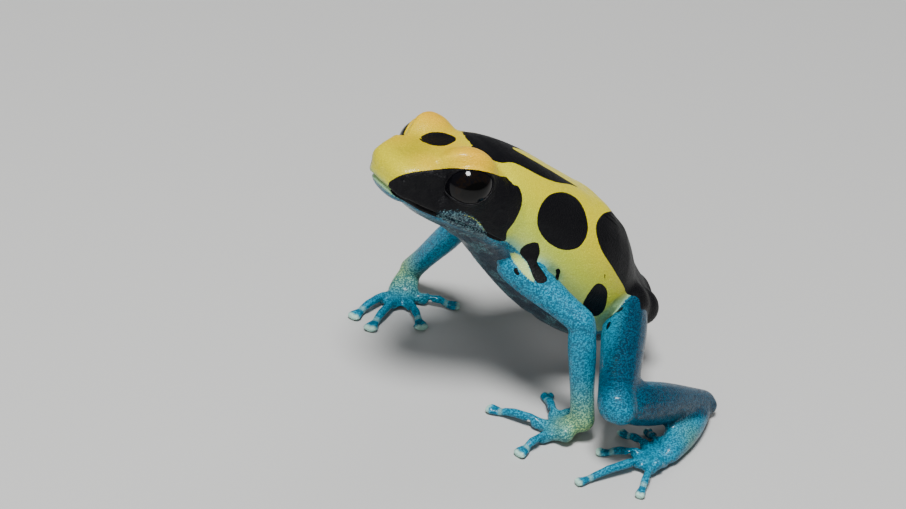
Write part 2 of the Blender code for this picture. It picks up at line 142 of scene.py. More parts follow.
def apply(piece: Thing, kind: str, **settings: Any) -> None:
    """Adds one modifier to a piece and applies it.

    Args:
        piece: The piece to change.
        kind: The modifier's type.
        settings: The modifier's own properties.
    """
    take(piece)
    modifier = piece.modifiers.new(kind.lower(), kind)
    for name, value in settings.items():
        setattr(modifier, name, value)
    bpy.ops.object.modifier_apply(modifier=modifier.name)


def joined(pieces: Sequence[Thing], name: str) -> Thing:
    """Joins pieces into one object.

    Args:
        pieces: The pieces, of which the first takes the others in.
        name: The new name.

    Returns:
        The joined object.
    """
    take(pieces[0])
    for piece in pieces[1:]:
        piece.select_set(True)
    bpy.ops.object.join()
    pieces[0].name = name
    return pieces[0]


def edit(piece: Thing, work: Callable[..., Any], **settings: Any) -> None:
    """Runs one edit mode operator on the whole of a piece.

    Args:
        piece: The piece to change.
        work: The operator.
        settings: The operator's own properties.
    """
    take(piece)
    bpy.ops.object.mode_set(mode="EDIT")
    bpy.ops.mesh.select_all(action="SELECT")
    work(**settings)
    bpy.ops.object.mode_set(mode="OBJECT")


def grow(piece: Thing, distance: float) -> Thing:
    """Moves a piece's surface outwards, or inwards by a distance below zero."""
    apply(piece, "DISPLACE", direction="NORMAL", strength=distance, mid_level=0.0)
    return piece


def soften(piece: Thing, voxel: float, rounds: int) -> Thing:
    """Makes a piece one even surface and smooths it."""
    apply(piece, "REMESH", mode="VOXEL", voxel_size=voxel)
    apply(piece, "SMOOTH", factor=0.5, iterations=rounds)
    return piece


def sphere(name: str, segments: int, rings: int, **settings: Any) -> Thing:
    """A sphere, with its place in its mesh.

    Args:
        name: The object's name.
        segments: How many faces it has around.
        rings: How many it has from pole to pole.
        settings: Its radius, location, rotation and scale.

    Returns:
        The object.
    """
    deselect()
    bpy.ops.mesh.primitive_uv_sphere_add(segments=segments, ring_count=rings, **settings)
    made = bpy.context.active_object
    made.name = name
    bpy.ops.object.transform_apply(location=True, rotation=True, scale=True)
    return made


def egg(name: str, centre: Sequence[float], radii: Point, aim: Sequence[float] = (0, 1, 0)) -> Thing:
    """A rounded form of a half width, half length and half height, with its length along the aim."""
    turn = Vector(aim).to_track_quat("Y", "Z").to_euler()
    return sphere(name, 24, 16, radius=1.0, location=Vector(centre), rotation=turn, scale=radii)


def vectors(things: Any, name: str) -> Rows:
    """The named vectors of a mesh's points or normals, one to a row."""
    found = np.empty(len(things) * 3, np.float32)
    things.foreach_get(name, found)
    return found.reshape(-1, 3).astype(float)


def move(mesh: bpy.types.Mesh, points: Rows) -> None:
    """Moves a mesh's points to new places."""
    mesh.vertices.foreach_set("co", points.astype(np.float32).ravel())
    mesh.update()


def surface_of(mesh: bpy.types.Mesh) -> BVHTree:
    """A mesh's surface, laid out for finding places on it."""
    form = bmesh.new()
    form.from_mesh(mesh)
    tree = BVHTree.FromBMesh(form)
    form.free()
    return tree


def smooth_line(points: Sequence[Sequence[float]], step: float, closed: bool = False) -> Rows:
    """Points along a smooth line through the given ones.

    Args:
        points: The points that it passes through.
        step: About how far apart the new points lie.
        closed: Whether it returns to its start.

    Returns:
        The new points, one to a row.
    """
    rows = np.array([list(point) for point in points], float)
    if len(rows) == 1:
        return rows
    if closed:
        rows = np.vstack([rows[-1:], rows, rows[:2]])
    else:
        rows = np.vstack([2 * rows[:1] - rows[1:2], rows, 2 * rows[-1:] - rows[-2:-1]])
    made = []
    for a, b, c, d in zip(rows, rows[1:], rows[2:], rows[3:]):
        count = max(1, math.ceil(np.linalg.norm(c - b) / step))
        t = (np.arange(count) / count)[:, None]
        square = 2 * a - 5 * b + 4 * c - d
        cube = 3 * b - a - 3 * c + d
        made.append(0.5 * (2 * b + (c - a) * t + square * t**2 + cube * t**3))
    if not closed:
        made.append(rows[-2:-1])
    return np.vstack(made)


def eased(values: Rows, low: float, high: float) -> Rows:
    """Rises smoothly from 0 at low to 1 at high."""
    t = np.clip((values - low) / (high - low), 0.0, 1.0)
    return t * t * (3.0 - 2.0 * t)


def halo(points: Rows, middle: Sequence[float], reach: float, squash: Point = (1.0, 1.0, 1.0)) -> Rows:
    """Falls smoothly from 1 at a place to nearly 0 at twice the reach, with each axis squashed."""
    gap = (points - np.array(middle)) * np.array(squash)
    return np.exp(-((np.linalg.norm(gap, axis=1) / reach) ** 2))


def off_segment(points: Rows, start: Rows, end: Rows) -> Rows:
    """The way to each point from the nearest place between two ends.

    Args:
        points: The points, one to a row.
        start: The one end.
        end: The other.

    Returns:
        The ways, one to a row.
    """
    run = end - start
    t = np.clip(((points - start) @ run) / max(run @ run, TINY), 0.0, 1.0)
    return points - start - t[:, None] * run


def inside_by(points: Rows, outline: Rows) -> Rows:
    """How far flat points lie inside a closed outline.

    Args:
        points: The points, one to a row.
        outline: The outline's corners, one to a row.

    Returns:
        The distance to the outline, positive inside it and negative outside.
    """
    nearest = np.full(len(points), np.inf)
    inside = np.zeros(len(points), bool)
    for a, b in zip(outline, np.roll(outline, -1, axis=0)):
        gap = off_segment(points, a, b)
        nearest = np.minimum(nearest, np.einsum("ij,ij->i", gap, gap))
        crosses = (a[1] > points[:, 1]) != (b[1] > points[:, 1])
        rise = b[1] - a[1] if abs(b[1] - a[1]) > TINY else TINY
        inside ^= crosses & (points[:, 0] < a[0] + (points[:, 1] - a[1]) * (b[0] - a[0]) / rise)
    return np.where(inside, 1.0, -1.0) * np.sqrt(nearest)


def line_distance(points: Rows, line: Rows) -> tuple[Rows, Rows]:
    """How far points are from a line's points, and how far along the line the nearest one is.

    Args:
        points: The points, one to a row.
        line: The line's points, one to a row.

    Returns:
        The distances, and the row of the nearest point of the line.
    """
    nearest = np.full(len(points), np.inf)
    which = np.zeros(len(points), int)
    for k, spot in enumerate(line):
        gap = points - spot
        square = np.einsum("ij,ij->i", gap, gap)
        closer = square < nearest
        nearest[closer] = square[closer]
        which[closer] = k
    return np.sqrt(nearest), which


@dataclass(frozen=True)
class FrogFrame:
    """Carries places between the frog's own straight body, in millimetres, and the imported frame.

    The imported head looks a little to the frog's left: before `full_turn` it is turned by the whole
    angle about the pivot and moved by the step, and behind `no_turn` it stays as it is.
    """

    origin: Vector = Vector()
    angle: float = math.radians(4.0)
    pivot: float = 3.0
    step: Flat = (-0.18, -0.2)
    full_turn: float = -1.5
    no_turn: float = 4.5
    rounds: int = 8

    @classmethod
    def found(cls) -> "FrogFrame":
        """The frame, found from where the left eye was packed."""
        low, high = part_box("eye_left")
        return cls((low + high) / 2 / MM - Vector(cls().packed(EYE_CENTRE)))

    def share(self, y: Rows) -> Rows:
        """How much of the head's turn is felt at a place along the straight body."""
        return 1.0 - eased(y, self.full_turn, self.no_turn)

    def turned(self, points: Rows) -> Rows:
        """Where places on the straight body lie once the head is turned.

        Args:
            points: The places, one to a row.

        Returns:
            Their turned places.
        """
        share = self.share(points[:, 1])
        sine, cosine = np.sin(self.angle * share), np.cos(self.angle * share)
        ahead = points[:, 1] - self.pivot
        x = points[:, 0] * cosine - ahead * sine + self.step[0] * share
        y = points[:, 0] * sine + ahead * cosine + self.pivot + self.step[1] * share
        return np.column_stack([x, y, points[:, 2]])

    def packed(self, place: Vector) -> Rows:
        """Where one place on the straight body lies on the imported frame, still in millimetres."""
        return self.turned(np.array([tuple(place)]))[0] + np.array(self.origin)

    def straightened(self, points: Rows) -> Rows:
        """Where places on the turned body lie on the straight one, found in a few rounds.

        Args:
            points: The turned places, one to a row.

        Returns:
            Their straight places.
        """
        found = points.copy()
        for _ in range(self.rounds):
            share = self.share(found[:, 1])
            sine, cosine = np.sin(self.angle * share), np.cos(self.angle * share)
            x = points[:, 0] - self.step[0] * share
            y = points[:, 1] - self.step[1] * share - self.pivot
            found[:, 0] = x * cosine + y * sine
            found[:, 1] = y * cosine - x * sine + self.pivot
        return found

    def flesh(self, names: Sequence[str], title: str) -> Thing:
        """A merged copy of some of the frame's nodes, in the frog's millimetres.

        Args:
            names: The nodes' names.
            title: The new object's name.

        Returns:
            The copy.
        """
        home = Matrix.Translation(-self.origin) @ Matrix.Scale(1 / MM, 4)
        copies = []
        for name in names:
            mesh = bpy.data.objects[name].data.copy()
            mesh.materials.clear()
            mesh.transform(home)
            copy = bpy.data.objects.new(name + "_copy", mesh)
            bpy.context.scene.collection.objects.link(copy)
            copies.append(copy)
        made = joined(copies, title)
        edit(made, bpy.ops.mesh.remove_doubles, threshold=DOUBLED)
        move(made.data, self.straightened(vectors(made.data.vertices, "co")))
        return made

    def bone(self, name: str, root: Vector) -> "Bone":
        """The middle line of a long node.

        Args:
            name: The node.
            root: A place near the end that it grows from.

        Returns:
            Its line from that end to the other, and its mean radius.
        """
        places = [tuple(v.co / MM - self.origin) for v in bpy.data.objects[name].data.vertices]
        points = self.straightened(np.array(places))
        middle = (points.min(0) + points.max(0)) / 2
        _, _, axes = np.linalg.svd(points - points.mean(0), full_matrices=False)
        reach = (points - middle) @ axes[0]
        away = points - middle - reach[:, None] * axes[0]
        ends = [Vector(middle + axes[0] * value) for value in (reach.min(), reach.max())]
        ends.sort(key=lambda end: (end - root).length)
        return Bone(ends[0], ends[1], float(np.linalg.norm(away, axis=1).mean()))

    def settle(self, piece: Thing) -> None:
        """Turns a finished piece's head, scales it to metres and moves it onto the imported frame."""
        move(piece.data, self.turned(vectors(piece.data.vertices, "co")))
        piece.data.transform(Matrix.Scale(MM, 4) @ Matrix.Translation(self.origin))
        piece.data.update()


@dataclass(frozen=True)
class Bone:
    """The middle line of a limb's part, in the frog's millimetres."""

    start: Vector
    end: Vector
    radius: float

    @property
    def way(self) -> Vector:
        """The direction from its root to its end."""
        return (self.end - self.start).normalized()

    def depth(self, points: Rows) -> Rows:
        """How far inside the part's round form points lie, negative outside."""
        gap = off_segment(points, np.array(self.start), np.array(self.end))
        return self.radius - np.linalg.norm(gap, axis=1)


@dataclass(frozen=True)
class Limb:
    """An arm or a hind leg: its parts from the body outwards, and its digits."""

    side: Side
    parts: list[Bone]
    digits: list[Bone]

    @property
    def is_leg(self) -> bool:
        """Whether it is a hind leg, which has a part more than an arm."""
        return len(self.parts) > 3

    @classmethod
    def found(
        cls, frog: FrogFrame, side: Side, region: Region, tips: Region, names: Iterable[str]
    ) -> "Limb":
        """Reads a limb from the frame.

        Args:
            frog: The frog's frame.
            side: The limb's side.
            region: The region of its parts.
            tips: The region of its digits.
            names: The names of all the nodes.

        Returns:
            The limb.
        """
        root = TRUNK_MIDDLE
        parts = []
        for part in region.value:
            parts.append(frog.bone(f"{part}_{side.word}", root))
            root = parts[-1].end
        digits = [frog.bone(name, parts[-1].start) for name in tips.nodes(names, side)]
        return cls(side, parts, digits)


@dataclass(frozen=True)
class View:
    """The line of sight from which the frog was measured, and its plane through the target."""

    target: Point = (0.0, 0.0, 14.0)
    azimuth: float = 58.0
    elevation: float = 30.0
    roll: float = 8.0
    distance: float = 222.2
    lens: float = 100.0
    sensor: float = 36.0

    def axes(self) -> tuple[Vector, Vector, Vector]:
        """The directions to the picture's right, up, and back to the viewer."""
        a, e, r = (math.radians(turn) for turn in (self.azimuth, self.elevation, self.roll))
        back = Vector((math.sin(a) * math.cos(e), -math.cos(a) * math.cos(e), math.sin(e)))
        level = Vector((math.cos(a), math.sin(a), 0.0))
        upright = Vector((-math.sin(a) * math.sin(e), math.cos(a) * math.sin(e), math.cos(e)))
        right = level * math.cos(r) + upright * math.sin(r)
        up = upright * math.cos(r) - level * math.sin(r)
        return right, up, back

    def flattened(self, points: Rows) -> Rows:
        """Points as seen on the plane through the target.

        Args:
            points: The points, one to a row.

        Returns:
            Their places in millimetres to the right and up.
        """
        right, up, back = (np.array(axis) for axis in self.axes())
        gap = points - np.array(self.target)
        shrink = self.distance / (self.distance - gap @ back)
        return np.column_stack([(gap @ right) * shrink, (gap @ up) * shrink])


UNMIRRORED = (Side.LEFT,)


@dataclass(frozen=True)
class Stroke:
    """One stroke of the modelling tool: a ridge, or a furrow where its height is negative."""

    name: str
    line: tuple[Point, ...]
    radius: float
    height: float
    taper: float = 0.6
    sides: tuple[Side, ...] = tuple(Side)


@dataclass(frozen=True)
class Muscle:
    """A rounded form under the skin, where the frame's solids part."""

    name: str
    centre: Point
    radii: Point
    aim: Point = (0.0, 1.0, 0.0)


class Clay:
    """The points of a skin while strokes are worked into it.

    A stroke is felt as far off as `REACH` times its radius, and only where the skin faces its line's
    way by at least `FACING`. Its height stops falling at `END` of its length from each end.
    """

    REACH = 2.5
    FACING = 0.1
    END = 0.02

    def __init__(self, piece: Thing) -> None:
        """Starts with a piece as it is."""
        self.piece = piece
        self.read()

    def read(self) -> None:
        """Reads the points and normals, and lays out the surface."""
        mesh = self.piece.data
        self.points = vectors(mesh.vertices, "co")
        self.normals = vectors(mesh.vertex_normals, "vector")
        self.surface = surface_of(mesh)

    def write(self) -> None:
        """Puts the moved points back into the mesh, and reads it again."""
        move(self.piece.data, self.points)
        self.read()

    def near(self, line: Rows, reach: float) -> Rows:
        """The rows of the points in a box around a line."""
        low = line.min(0) - reach
        high = line.max(0) + reach
        return np.flatnonzero(np.all((self.points > low) & (self.points < high), axis=1))

    def stroke(self, stroke: Stroke, side: Side) -> None:
        """Works one stroke into the surface.

        Args:
            stroke: The stroke, written for the left side.
            side: The side to work it on.
        """
        LOG.debug("stroke: %s, %s", stroke.name, side.word)
        path = smooth_line([side.place(point) for point in stroke.line], stroke.radius / 2)
        hits = [self.surface.find_nearest(Vector(spot)) for spot in path]
        path = np.array([tuple(hit[0]) for hit in hits])
        facing = np.array([tuple(hit[1]) for hit in hits])
        rows = self.near(path, stroke.radius * self.REACH)
        gap, which = line_distance(self.points[rows], path)
        share = np.clip(which / max(1, len(path) - 1), self.END, 1.0 - self.END)
        ends = np.power(np.sin(math.pi * share), stroke.taper) if len(path) > 1 else 1.0
        turned = np.einsum("ij,ij->i", self.normals[rows], facing[which]) > self.FACING
        amount = stroke.height * np.exp(-((gap / stroke.radius) ** 2)) * ends * turned
        self.points[rows] += self.normals[rows] * amount[:, None]

    def strokes(self, strokes: Sequence[Stroke]) -> None:
        """Works strokes on both sides, or on one where a stroke says so."""
        for stroke in strokes:
            for side in stroke.sides:
                self.stroke(stroke, side)
        self.write()


@dataclass
class Eye:
    """One eye: the ball, the lids pressed to it, and the lens-shaped opening between them.

    The opening is a closed line of places along the ball, in millimetres forwards and up from the
    point that `aim` gives. Round it the lids stand off by `margin`, and inside it the skin sinks behind
    the ball by `sink`. The spans and the fade are distances from the opening's line.
    """

    side: Side
    radius: float = 2.3
    aim: Point = (0.93, -0.22, 0.14)
    forward: Point = (0.0, -0.93, -0.36)
    opening: tuple[Flat, ...] = (
        (2.8, 0.62), (2.0, -0.25), (1.1, -0.88), (0.2, -1.12), (-0.8, -1.1), (-1.7, -0.75), (-2.15, -0.1),
        (-1.75, 0.75), (-1.0, 1.5), (-0.1, 2.02), (0.9, 2.25), (1.9, 1.95), (2.6, 1.3),
    )
    margin: float = 0.13
    sink: float = 0.55
    groove: float = 0.05
    rim_span: Flat = (-0.22, 0.06)
    groove_span: Flat = (0.16, 0.4)
    lid_fade: Flat = (0.22, 1.25)
    lid_reach: float = 1.5
    lid_span: float = 2.2
    socket_slack: float = 0.02
    cornea: float = 0.07

    @property
    def centre(self) -> Vector:
        """The ball's middle."""
        return self.side.place(EYE_CENTRE + Vector((0.05, 0.35, 0.0)))

    def axes(self) -> tuple[Rows, Rows, Rows]:
        """The directions out of the eye, forwards along its opening, and up."""
        out = self.side.place(self.aim).normalized()
        ahead = Vector(self.forward)
        ahead = (ahead - out * ahead.dot(out)).normalized()
        up = ahead.cross(out) if self.side is Side.LEFT else out.cross(ahead)
        if up.z < 0:
            up = -up
        return np.array(out), np.array(ahead), np.array(up)

    def on_ball(self, points: Rows) -> tuple[Rows, Rows]:
        """Where points lie as seen from the ball's middle.

        Args:
            points: The points, one to a row.

        Returns:
            Their places along the ball, and their distances from its middle.
        """
        out, ahead, up = self.axes()
        gap = points - np.array(self.centre)
        reach = np.linalg.norm(gap, axis=1)
        unit = gap / np.maximum(reach, TINY)[:, None]
        turn = np.arccos(np.clip(unit @ out, -1, 1))
        flat = np.column_stack([unit @ ahead, unit @ up])
        flat /= np.maximum(np.linalg.norm(flat, axis=1), TINY)[:, None]
        return flat * (turn * self.radius)[:, None], reach

    def press_lids(self, clay: Clay) -> None:
        """Presses the skin to the ball round the opening, and sinks it behind the ball inside it."""
        rows = clay.near(np.array([tuple(self.centre)]), self.radius + self.lid_reach)
        flat, reach = self.on_ball(clay.points[rows])
        outside = -inside_by(flat, smooth_line(self.opening, 0.15, closed=True))
        facing = reach < self.radius + self.lid_reach
        facing &= np.linalg.norm(flat, axis=1) < self.radius * self.lid_span
        rim = self.radius - self.sink + (self.sink + self.margin) * eased(outside, *self.rim_span)
        rim -= self.groove * eased(outside, *self.groove_span)
        hold = eased(outside, *self.lid_fade)
        target = rim * (1 - hold) + reach * hold
        target = np.where(facing, np.minimum(target, np.maximum(reach, rim)), reach)
        middle = np.array(self.centre)
        clay.points[rows] = middle + (clay.points[rows] - middle) * (target / reach)[:, None]

    def socket(self, skin: Thing) -> None:
        """Cuts the ball's socket out of the skin."""
        cutter = sphere("socket", 96, 48, radius=self.radius + self.socket_slack, location=self.centre)
        apply(skin, "BOOLEAN", object=cutter, operation="DIFFERENCE", solver="MANIFOLD")
        bpy.data.objects.remove(cutter)

    def build(self, finish: "EyeFinish", frog: FrogFrame) -> Thing:
        """Models the ball with its slight cornea.

        Args:
            finish: The eye's finish.
            frog: The frog's frame.

        Returns:
            The eye.
        """
        out = Vector(self.axes()[0])
        turn = out.to_track_quat("Z", "Y").to_euler()
        ball = sphere(f"eyeball_{self.side.word}", 64, 40, radius=self.radius, rotation=turn)
        for vertex in ball.data.vertices:
            facing = max(0.0, vertex.co.normalized().dot(out))
            vertex.co += out * self.cornea * facing**6
        ball.data.transform(Matrix.Translation(self.centre))
        ball.data.shade_smooth()
        frog.settle(ball)
        ball.data.materials.append(finish.material(self, frog))
        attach(ball, "root")
        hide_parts(f"eye_{self.side.word}")
        LOG.info("%s: ball of %.1f mm in its lids", ball.name, self.radius * 2)
        return ball


@dataclass(frozen=True)
class Mark:
    """A marking whose outline lies on the plane square to the line of sight, in millimetres.

    It reaches in towards the far side as far as `inner`, a line of (y, x) that x stays above, and up
    as far as `top`, a line of (y, z) that z stays below. The right side's copy stops short of both by
    `apart` more. `below` is how far it may reach past the border of the underside, and `over` how
    far it may run on to a limb.
    """

    name: str
    outline: tuple[Flat, ...]
    inner: tuple[Flat, ...] = ((0.0, 3.0),)
    both: bool = True
    apart: float = 0.0
    below: float = FAR
    over: float = 0.3
    top: tuple[Flat, ...] = ((0.0, FAR),)

    def depth(self, points: Rows, flat: Rows, side: Side) -> Rows:
        """How far inside the marking points lie, negative outside.

        Args:
            points: The straight points, one to a row, as seen from their own side.
            flat: The same points on the plane square to the line of sight.
            side: The side that they are on.

        Returns:
            The distances in millimetres.
        """
        LOG.debug("mark: %s, %s", self.name, side.word)
        outline = smooth_line(self.outline, 0.25, closed=True)
        apart = self.apart if side is Side.RIGHT else 0.0
        limit = np.interp(points[:, 1], *np.transpose(self.inner)) + apart
        ceiling = np.interp(points[:, 1], *np.transpose(self.top)) - apart
        within = np.minimum(points[:, 0] - limit, ceiling - points[:, 2])
        return np.minimum(inside_by(flat, outline), within)


@dataclass(frozen=True)
class Streak:
    """A marking drawn as a line on the skin, with its half width."""

    name: str
    line: tuple[Point, ...]
    half_width: float

    def depth(self, points: Rows) -> Rows:
        """How far inside the streak points lie, negative outside."""
        LOG.debug("streak: %s", self.name)
        path = smooth_line(self.line, self.half_width / 3)
        gap, _ = line_distance(points, path)
        return self.half_width - gap


BLACK_MARKS = (
    Mark(
        "face mask",
        (
            (-5.74, 6.22), (-4.94, 6.84), (-3.88, 7.2), (-2.03, 7.46), (-0.09, 7.64), (1.06, 7.56),
            (2.21, 7.45), (3.36, 7.2), (4.15, 6.93), (4.94, 6.75), (5.92, 5.78), (6.09, 4.46),
            (5.47, 2.96), (4.77, 1.99), (4.68, 1.28), (4.06, 1.19), (2.74, 1.72), (2.74, 2.25),
            (1.94, 3.13), (0.97, 3.5), (-0.26, 3.3), (-1.41, 3.2), (-2.3, 3.5), (-3.3, 4.1),
            (-4.3, 4.7), (-5.3, 5.3),
        ),
        ((-9.0, 1.3), (-6.0, 1.6), (-4.0, 2.2), (3.0, 2.6)),
        apart=0.7,
        below=0.25,
        top=(
            (-8.4, 24.0), (-8.0, 24.85), (-7.2, 25.25), (-6.4, 25.37), (-5.4, 25.5), (-4.2, 25.5),
            (-3.3, 25.75), (-1.9, 25.75), (-0.8, 25.4), (0.7, 24.5), (1.7, 23.75), (2.2, 23.2), (4.0, 22.6),
        ),
    ),
    Mark(
        "crown oval",
        (
            (-3.0, 10.2), (-2.21, 10.73), (-1.32, 10.82), (-0.44, 10.64), (0.35, 10.2),
            (-0.44, 9.67), (-1.32, 9.58), (-2.21, 9.76),
        ),
        ((0.0, -3.0),),
        both=False,
    ),
    Mark(
        "flank spot",
        (
            (7.42, 2.87), (7.68, 4.19), (8.39, 5.16), (9.36, 5.52), (10.33, 5.34), (11.21, 4.64),
            (11.74, 3.49), (11.92, 2.16), (11.48, 1.02), (10.77, 0.49), (9.71, 0.4), (8.56, 0.93),
            (7.77, 1.81),
        ),
        ((0.0, 2.0),),
    ),
    Mark(
        "hip spot",
        (
            (13.16, -2.6), (13.6, -3.13), (13.6, -4.02), (13.33, -4.9), (12.71, -5.43),
            (12.01, -5.34), (11.39, -4.81), (11.57, -4.11), (12.1, -3.22), (12.63, -2.6),
        ),
    ),
    Mark(
        "back band",
        (
            (0.18, 11.7), (0.71, 10.99), (1.15, 10.11), (1.68, 9.4), (2.56, 8.78), (3.53, 8.3),
            (4.33, 8.08), (5.21, 8.12), (6.36, 7.64), (7.68, 6.93), (9.01, 6.4), (10.33, 6.18),
            (11.57, 5.78), (11.9, 6.4), (9.9, 8.4), (8.4, 9.6), (6.8, 10.8), (4.6, 12.2), (2.4, 12.9),
        ),
        (
            (-2.0, -2.4), (2.0, -2.4), (3.2, -1.7), (4.2, -0.6), (5.0, 0.2), (6.0, 0.7), (7.5, 0.95),
            (9.5, 1.0), (12.0, 1.3),
        ),
        apart=0.4,
        top=((-3.0, 25.2), (-0.2, 25.42), (0.3, 25.42), (1.0, 25.25), (2.0, 25.2), (3.0, 26.0), (4.0, FAR)),
    ),
    Mark(
        "rump band",
        (
            (13.95, 3.84), (13.24, 3.58), (12.71, 2.87), (12.63, 1.99), (12.98, 0.66), (13.51, -0.31),
            (14.04, -1.1), (14.57, -1.99), (15.1, -2.87), (15.36, -3.49), (16.35, -3.85), (16.6, -5.0),
            (17.0, -6.6), (19.2, -6.9), (19.2, -3.13), (16.51, 1.72), (14.92, 4.11),
        ),
        ((0.0, 0.12),),
        apart=0.25,
        over=1.7,
    ),
    Mark(
        "shoulder spot",
        (
            (5.88, 0.15), (6.03, 0.55), (6.43, 0.88), (7.02, 1.07), (7.5, 1.1), (7.61, 0.66), (7.68, 0.19),
            (7.5, -0.37), (7.42, -0.66), (7.68, -1.1), (8.05, -1.62), (8.34, -2.14), (8.19, -2.43),
            (7.75, -2.6), (7.31, -2.43), (7.02, -1.9), (6.8, -1.25), (6.51, -0.66), (6.07, -0.15),
        ),
        over=FAR,
    ),
    Mark(
        "arm fleck",
        ((5.34, -1.32), (5.56, -1.1), (5.78, -1.41), (5.87, -1.85), (5.61, -1.81), (5.39, -1.59)),
        over=FAR,
    ),
    Mark(
        "armpit fleck",
        (
            (9.05, -1.37), (9.31, -1.22), (9.51, -1.46), (9.4, -1.81), (9.31, -2.25), (9.09, -2.38),
            (8.99, -2.07), (9.12, -1.72),
        ),
        over=FAR,
    ),
)
ARM_STRIPE = Mark(
    "arm stripe",
    (
        (5.1, 0.11), (5.69, 0.04), (6.21, -0.37), (6.65, -0.95), (6.87, -1.62), (7.24, -2.36),
        (7.09, -2.43), (6.51, -1.99), (5.99, -1.47), (5.62, -0.95), (5.25, -0.37),
    ),
    over=FAR,
)
BLACK_STREAKS = (
    Streak("side dash", ((6.3, 12.0, 13.6), (6.35, 12.2, 13.1)), 0.14),
    Streak("side dot", ((6.1, 10.7, 16.0),), 0.11),
    Streak("groin fleck", ((6.3, 12.9, 9.2), (6.4, 13.5, 9.0)), 0.22),
    Streak("groin shade", ((6.4, 14.3, 10.1), (6.5, 14.2, 9.4)), 0.32),
    Streak("thigh fleck", ((7.4, 12.7, 8.9), (7.7, 12.3, 8.8)), 0.25),
)
LIP_PATCH = Mark(
    "lip patch",
    (
        (-1.41, 3.66), (-0.26, 3.84), (0.79, 3.71), (1.85, 3.22), (2.74, 2.25), (2.91, 1.37),
        (1.85, 1.72), (0.44, 2.34), (-0.79, 2.96),
    ),
    ((0.0, 2.0),),
    over=FAR,
)
# The line below which the frog's underside is blue, from the lower lip to the vent, as (y, z).
UNDERSIDE = (
    (-12.0, 23.4), (-8.9, 22.9), (-7.0, 22.1), (-6.0, 21.6), (-3.0, 20.4), (-0.4, 19.1), (0.8, 18.4),
    (1.8, 18.2), (3.2, 16.9), (5.0, 14.6), (7.5, 11.6), (10.0, 8.6), (12.5, 6.4), (14.5, 6.4), (16.0, 7.6),
    (18.0, 8.2), (21.0, 8.4), (26.0, 8.4), (26.0, -3.0), (-12.0, -3.0),
)

# Where the lids and the snout's ridge glow orange: the middle, the reach and the strength.
LID_GLOWS = (
    ((3.6, -1.6, 26.4), 2.6, 1.0),
    ((2.8, -5.4, 25.8), 1.8, 0.45),
    ((1.0, -2.0, 26.0), 2.2, 0.5),
)
# Where the crown is painted darker and olive, a painted shade between the lids: the middle and the reach.
CROWN = ((0.0, -5.0, 25.8), 2.8)

HEAD_STROKES = (
    Stroke("canthal ridge", (
        (1.9, -8.0, 25.1), (3.0, -6.6, 25.4), (4.1, -5.2, 25.7), (5.0, -4.2, 26.0),
    ), 0.7, 0.16),
    Stroke("face hollow", ((2.9, -7.0, 23.9), (4.0, -5.7, 23.9), (4.9, -5.0, 23.6)), 0.8, -0.16),
    Stroke("crown hollow", ((0.0, -6.8, 25.5), (0.0, -5.0, 25.9)), 1.1, -0.12, sides=UNMIRRORED),
    Stroke("lid crease", (
        (3.1, 1.0, 25.0), (3.9, 1.6, 24.4), (4.7, 1.9, 23.7), (5.5, 1.5, 22.9),
    ), 0.55, -0.22),
    Stroke("neck fold", ((5.4, 2.4, 23.4), (6.0, 3.2, 21.4), (6.2, 3.4, 19.0)), 0.6, -0.08),
    Stroke("eardrum rim", tuple(
        (6.1, 0.3 + 0.85 * math.cos(turn / 4 * math.pi), 20.9 + 0.85 * math.sin(turn / 4 * math.pi))
        for turn in range(9)
    ), 0.16, 0.07, 0.0),
    Stroke("eardrum", ((6.1, 0.3, 20.9),), 0.55, -0.07),
    Stroke("upper lip", (
        (0.0, -9.2, 23.45), (1.4, -9.0, 23.4), (2.4, -8.2, 23.1), (3.2, -6.9, 22.4), (3.9, -5.5, 21.8),
        (4.6, -4.0, 21.2), (5.1, -2.5, 20.5), (5.6, -1.0, 19.8), (5.9, 0.2, 19.1),
    ), 0.35, 0.1),
    Stroke("mouth", (
        (-1.2, -9.0, 23.0), (0.0, -9.2, 23.05), (1.2, -9.0, 23.0), (2.2, -8.2, 22.6), (3.0, -6.9, 22.0),
        (3.7, -5.5, 21.4), (4.4, -4.0, 20.8), (4.9, -2.5, 20.1), (5.4, -1.0, 19.4), (5.7, 0.2, 18.7),
        (5.8, 0.9, 18.3),
    ), 0.15, -0.3, 0.15),
    Stroke("jaw", (
        (0.0, -8.6, 22.2), (1.6, -8.2, 22.1), (2.8, -6.8, 21.3), (3.7, -5.0, 20.3), (4.4, -3.0, 19.4),
        (5.0, -1.0, 18.4),
    ), 0.5, 0.12),
    Stroke("jaw crease", (
        (0.0, -5.2, 19.2), (2.0, -4.4, 19.0), (3.5, -2.6, 18.3), (4.6, -0.6, 17.4), (5.3, 1.0, 17.0),
    ), 0.4, -0.13),
    Stroke("throat", ((0.0, -1.8, 16.8), (1.8, -1.0, 16.6), (3.4, 0.4, 16.0)), 1.5, 0.2),
    Stroke("nostril rim", ((2.35, -7.6, 24.35),), 0.38, 0.12),
    Stroke("nostril", ((2.35, -7.6, 24.35),), 0.17, -0.42),
)
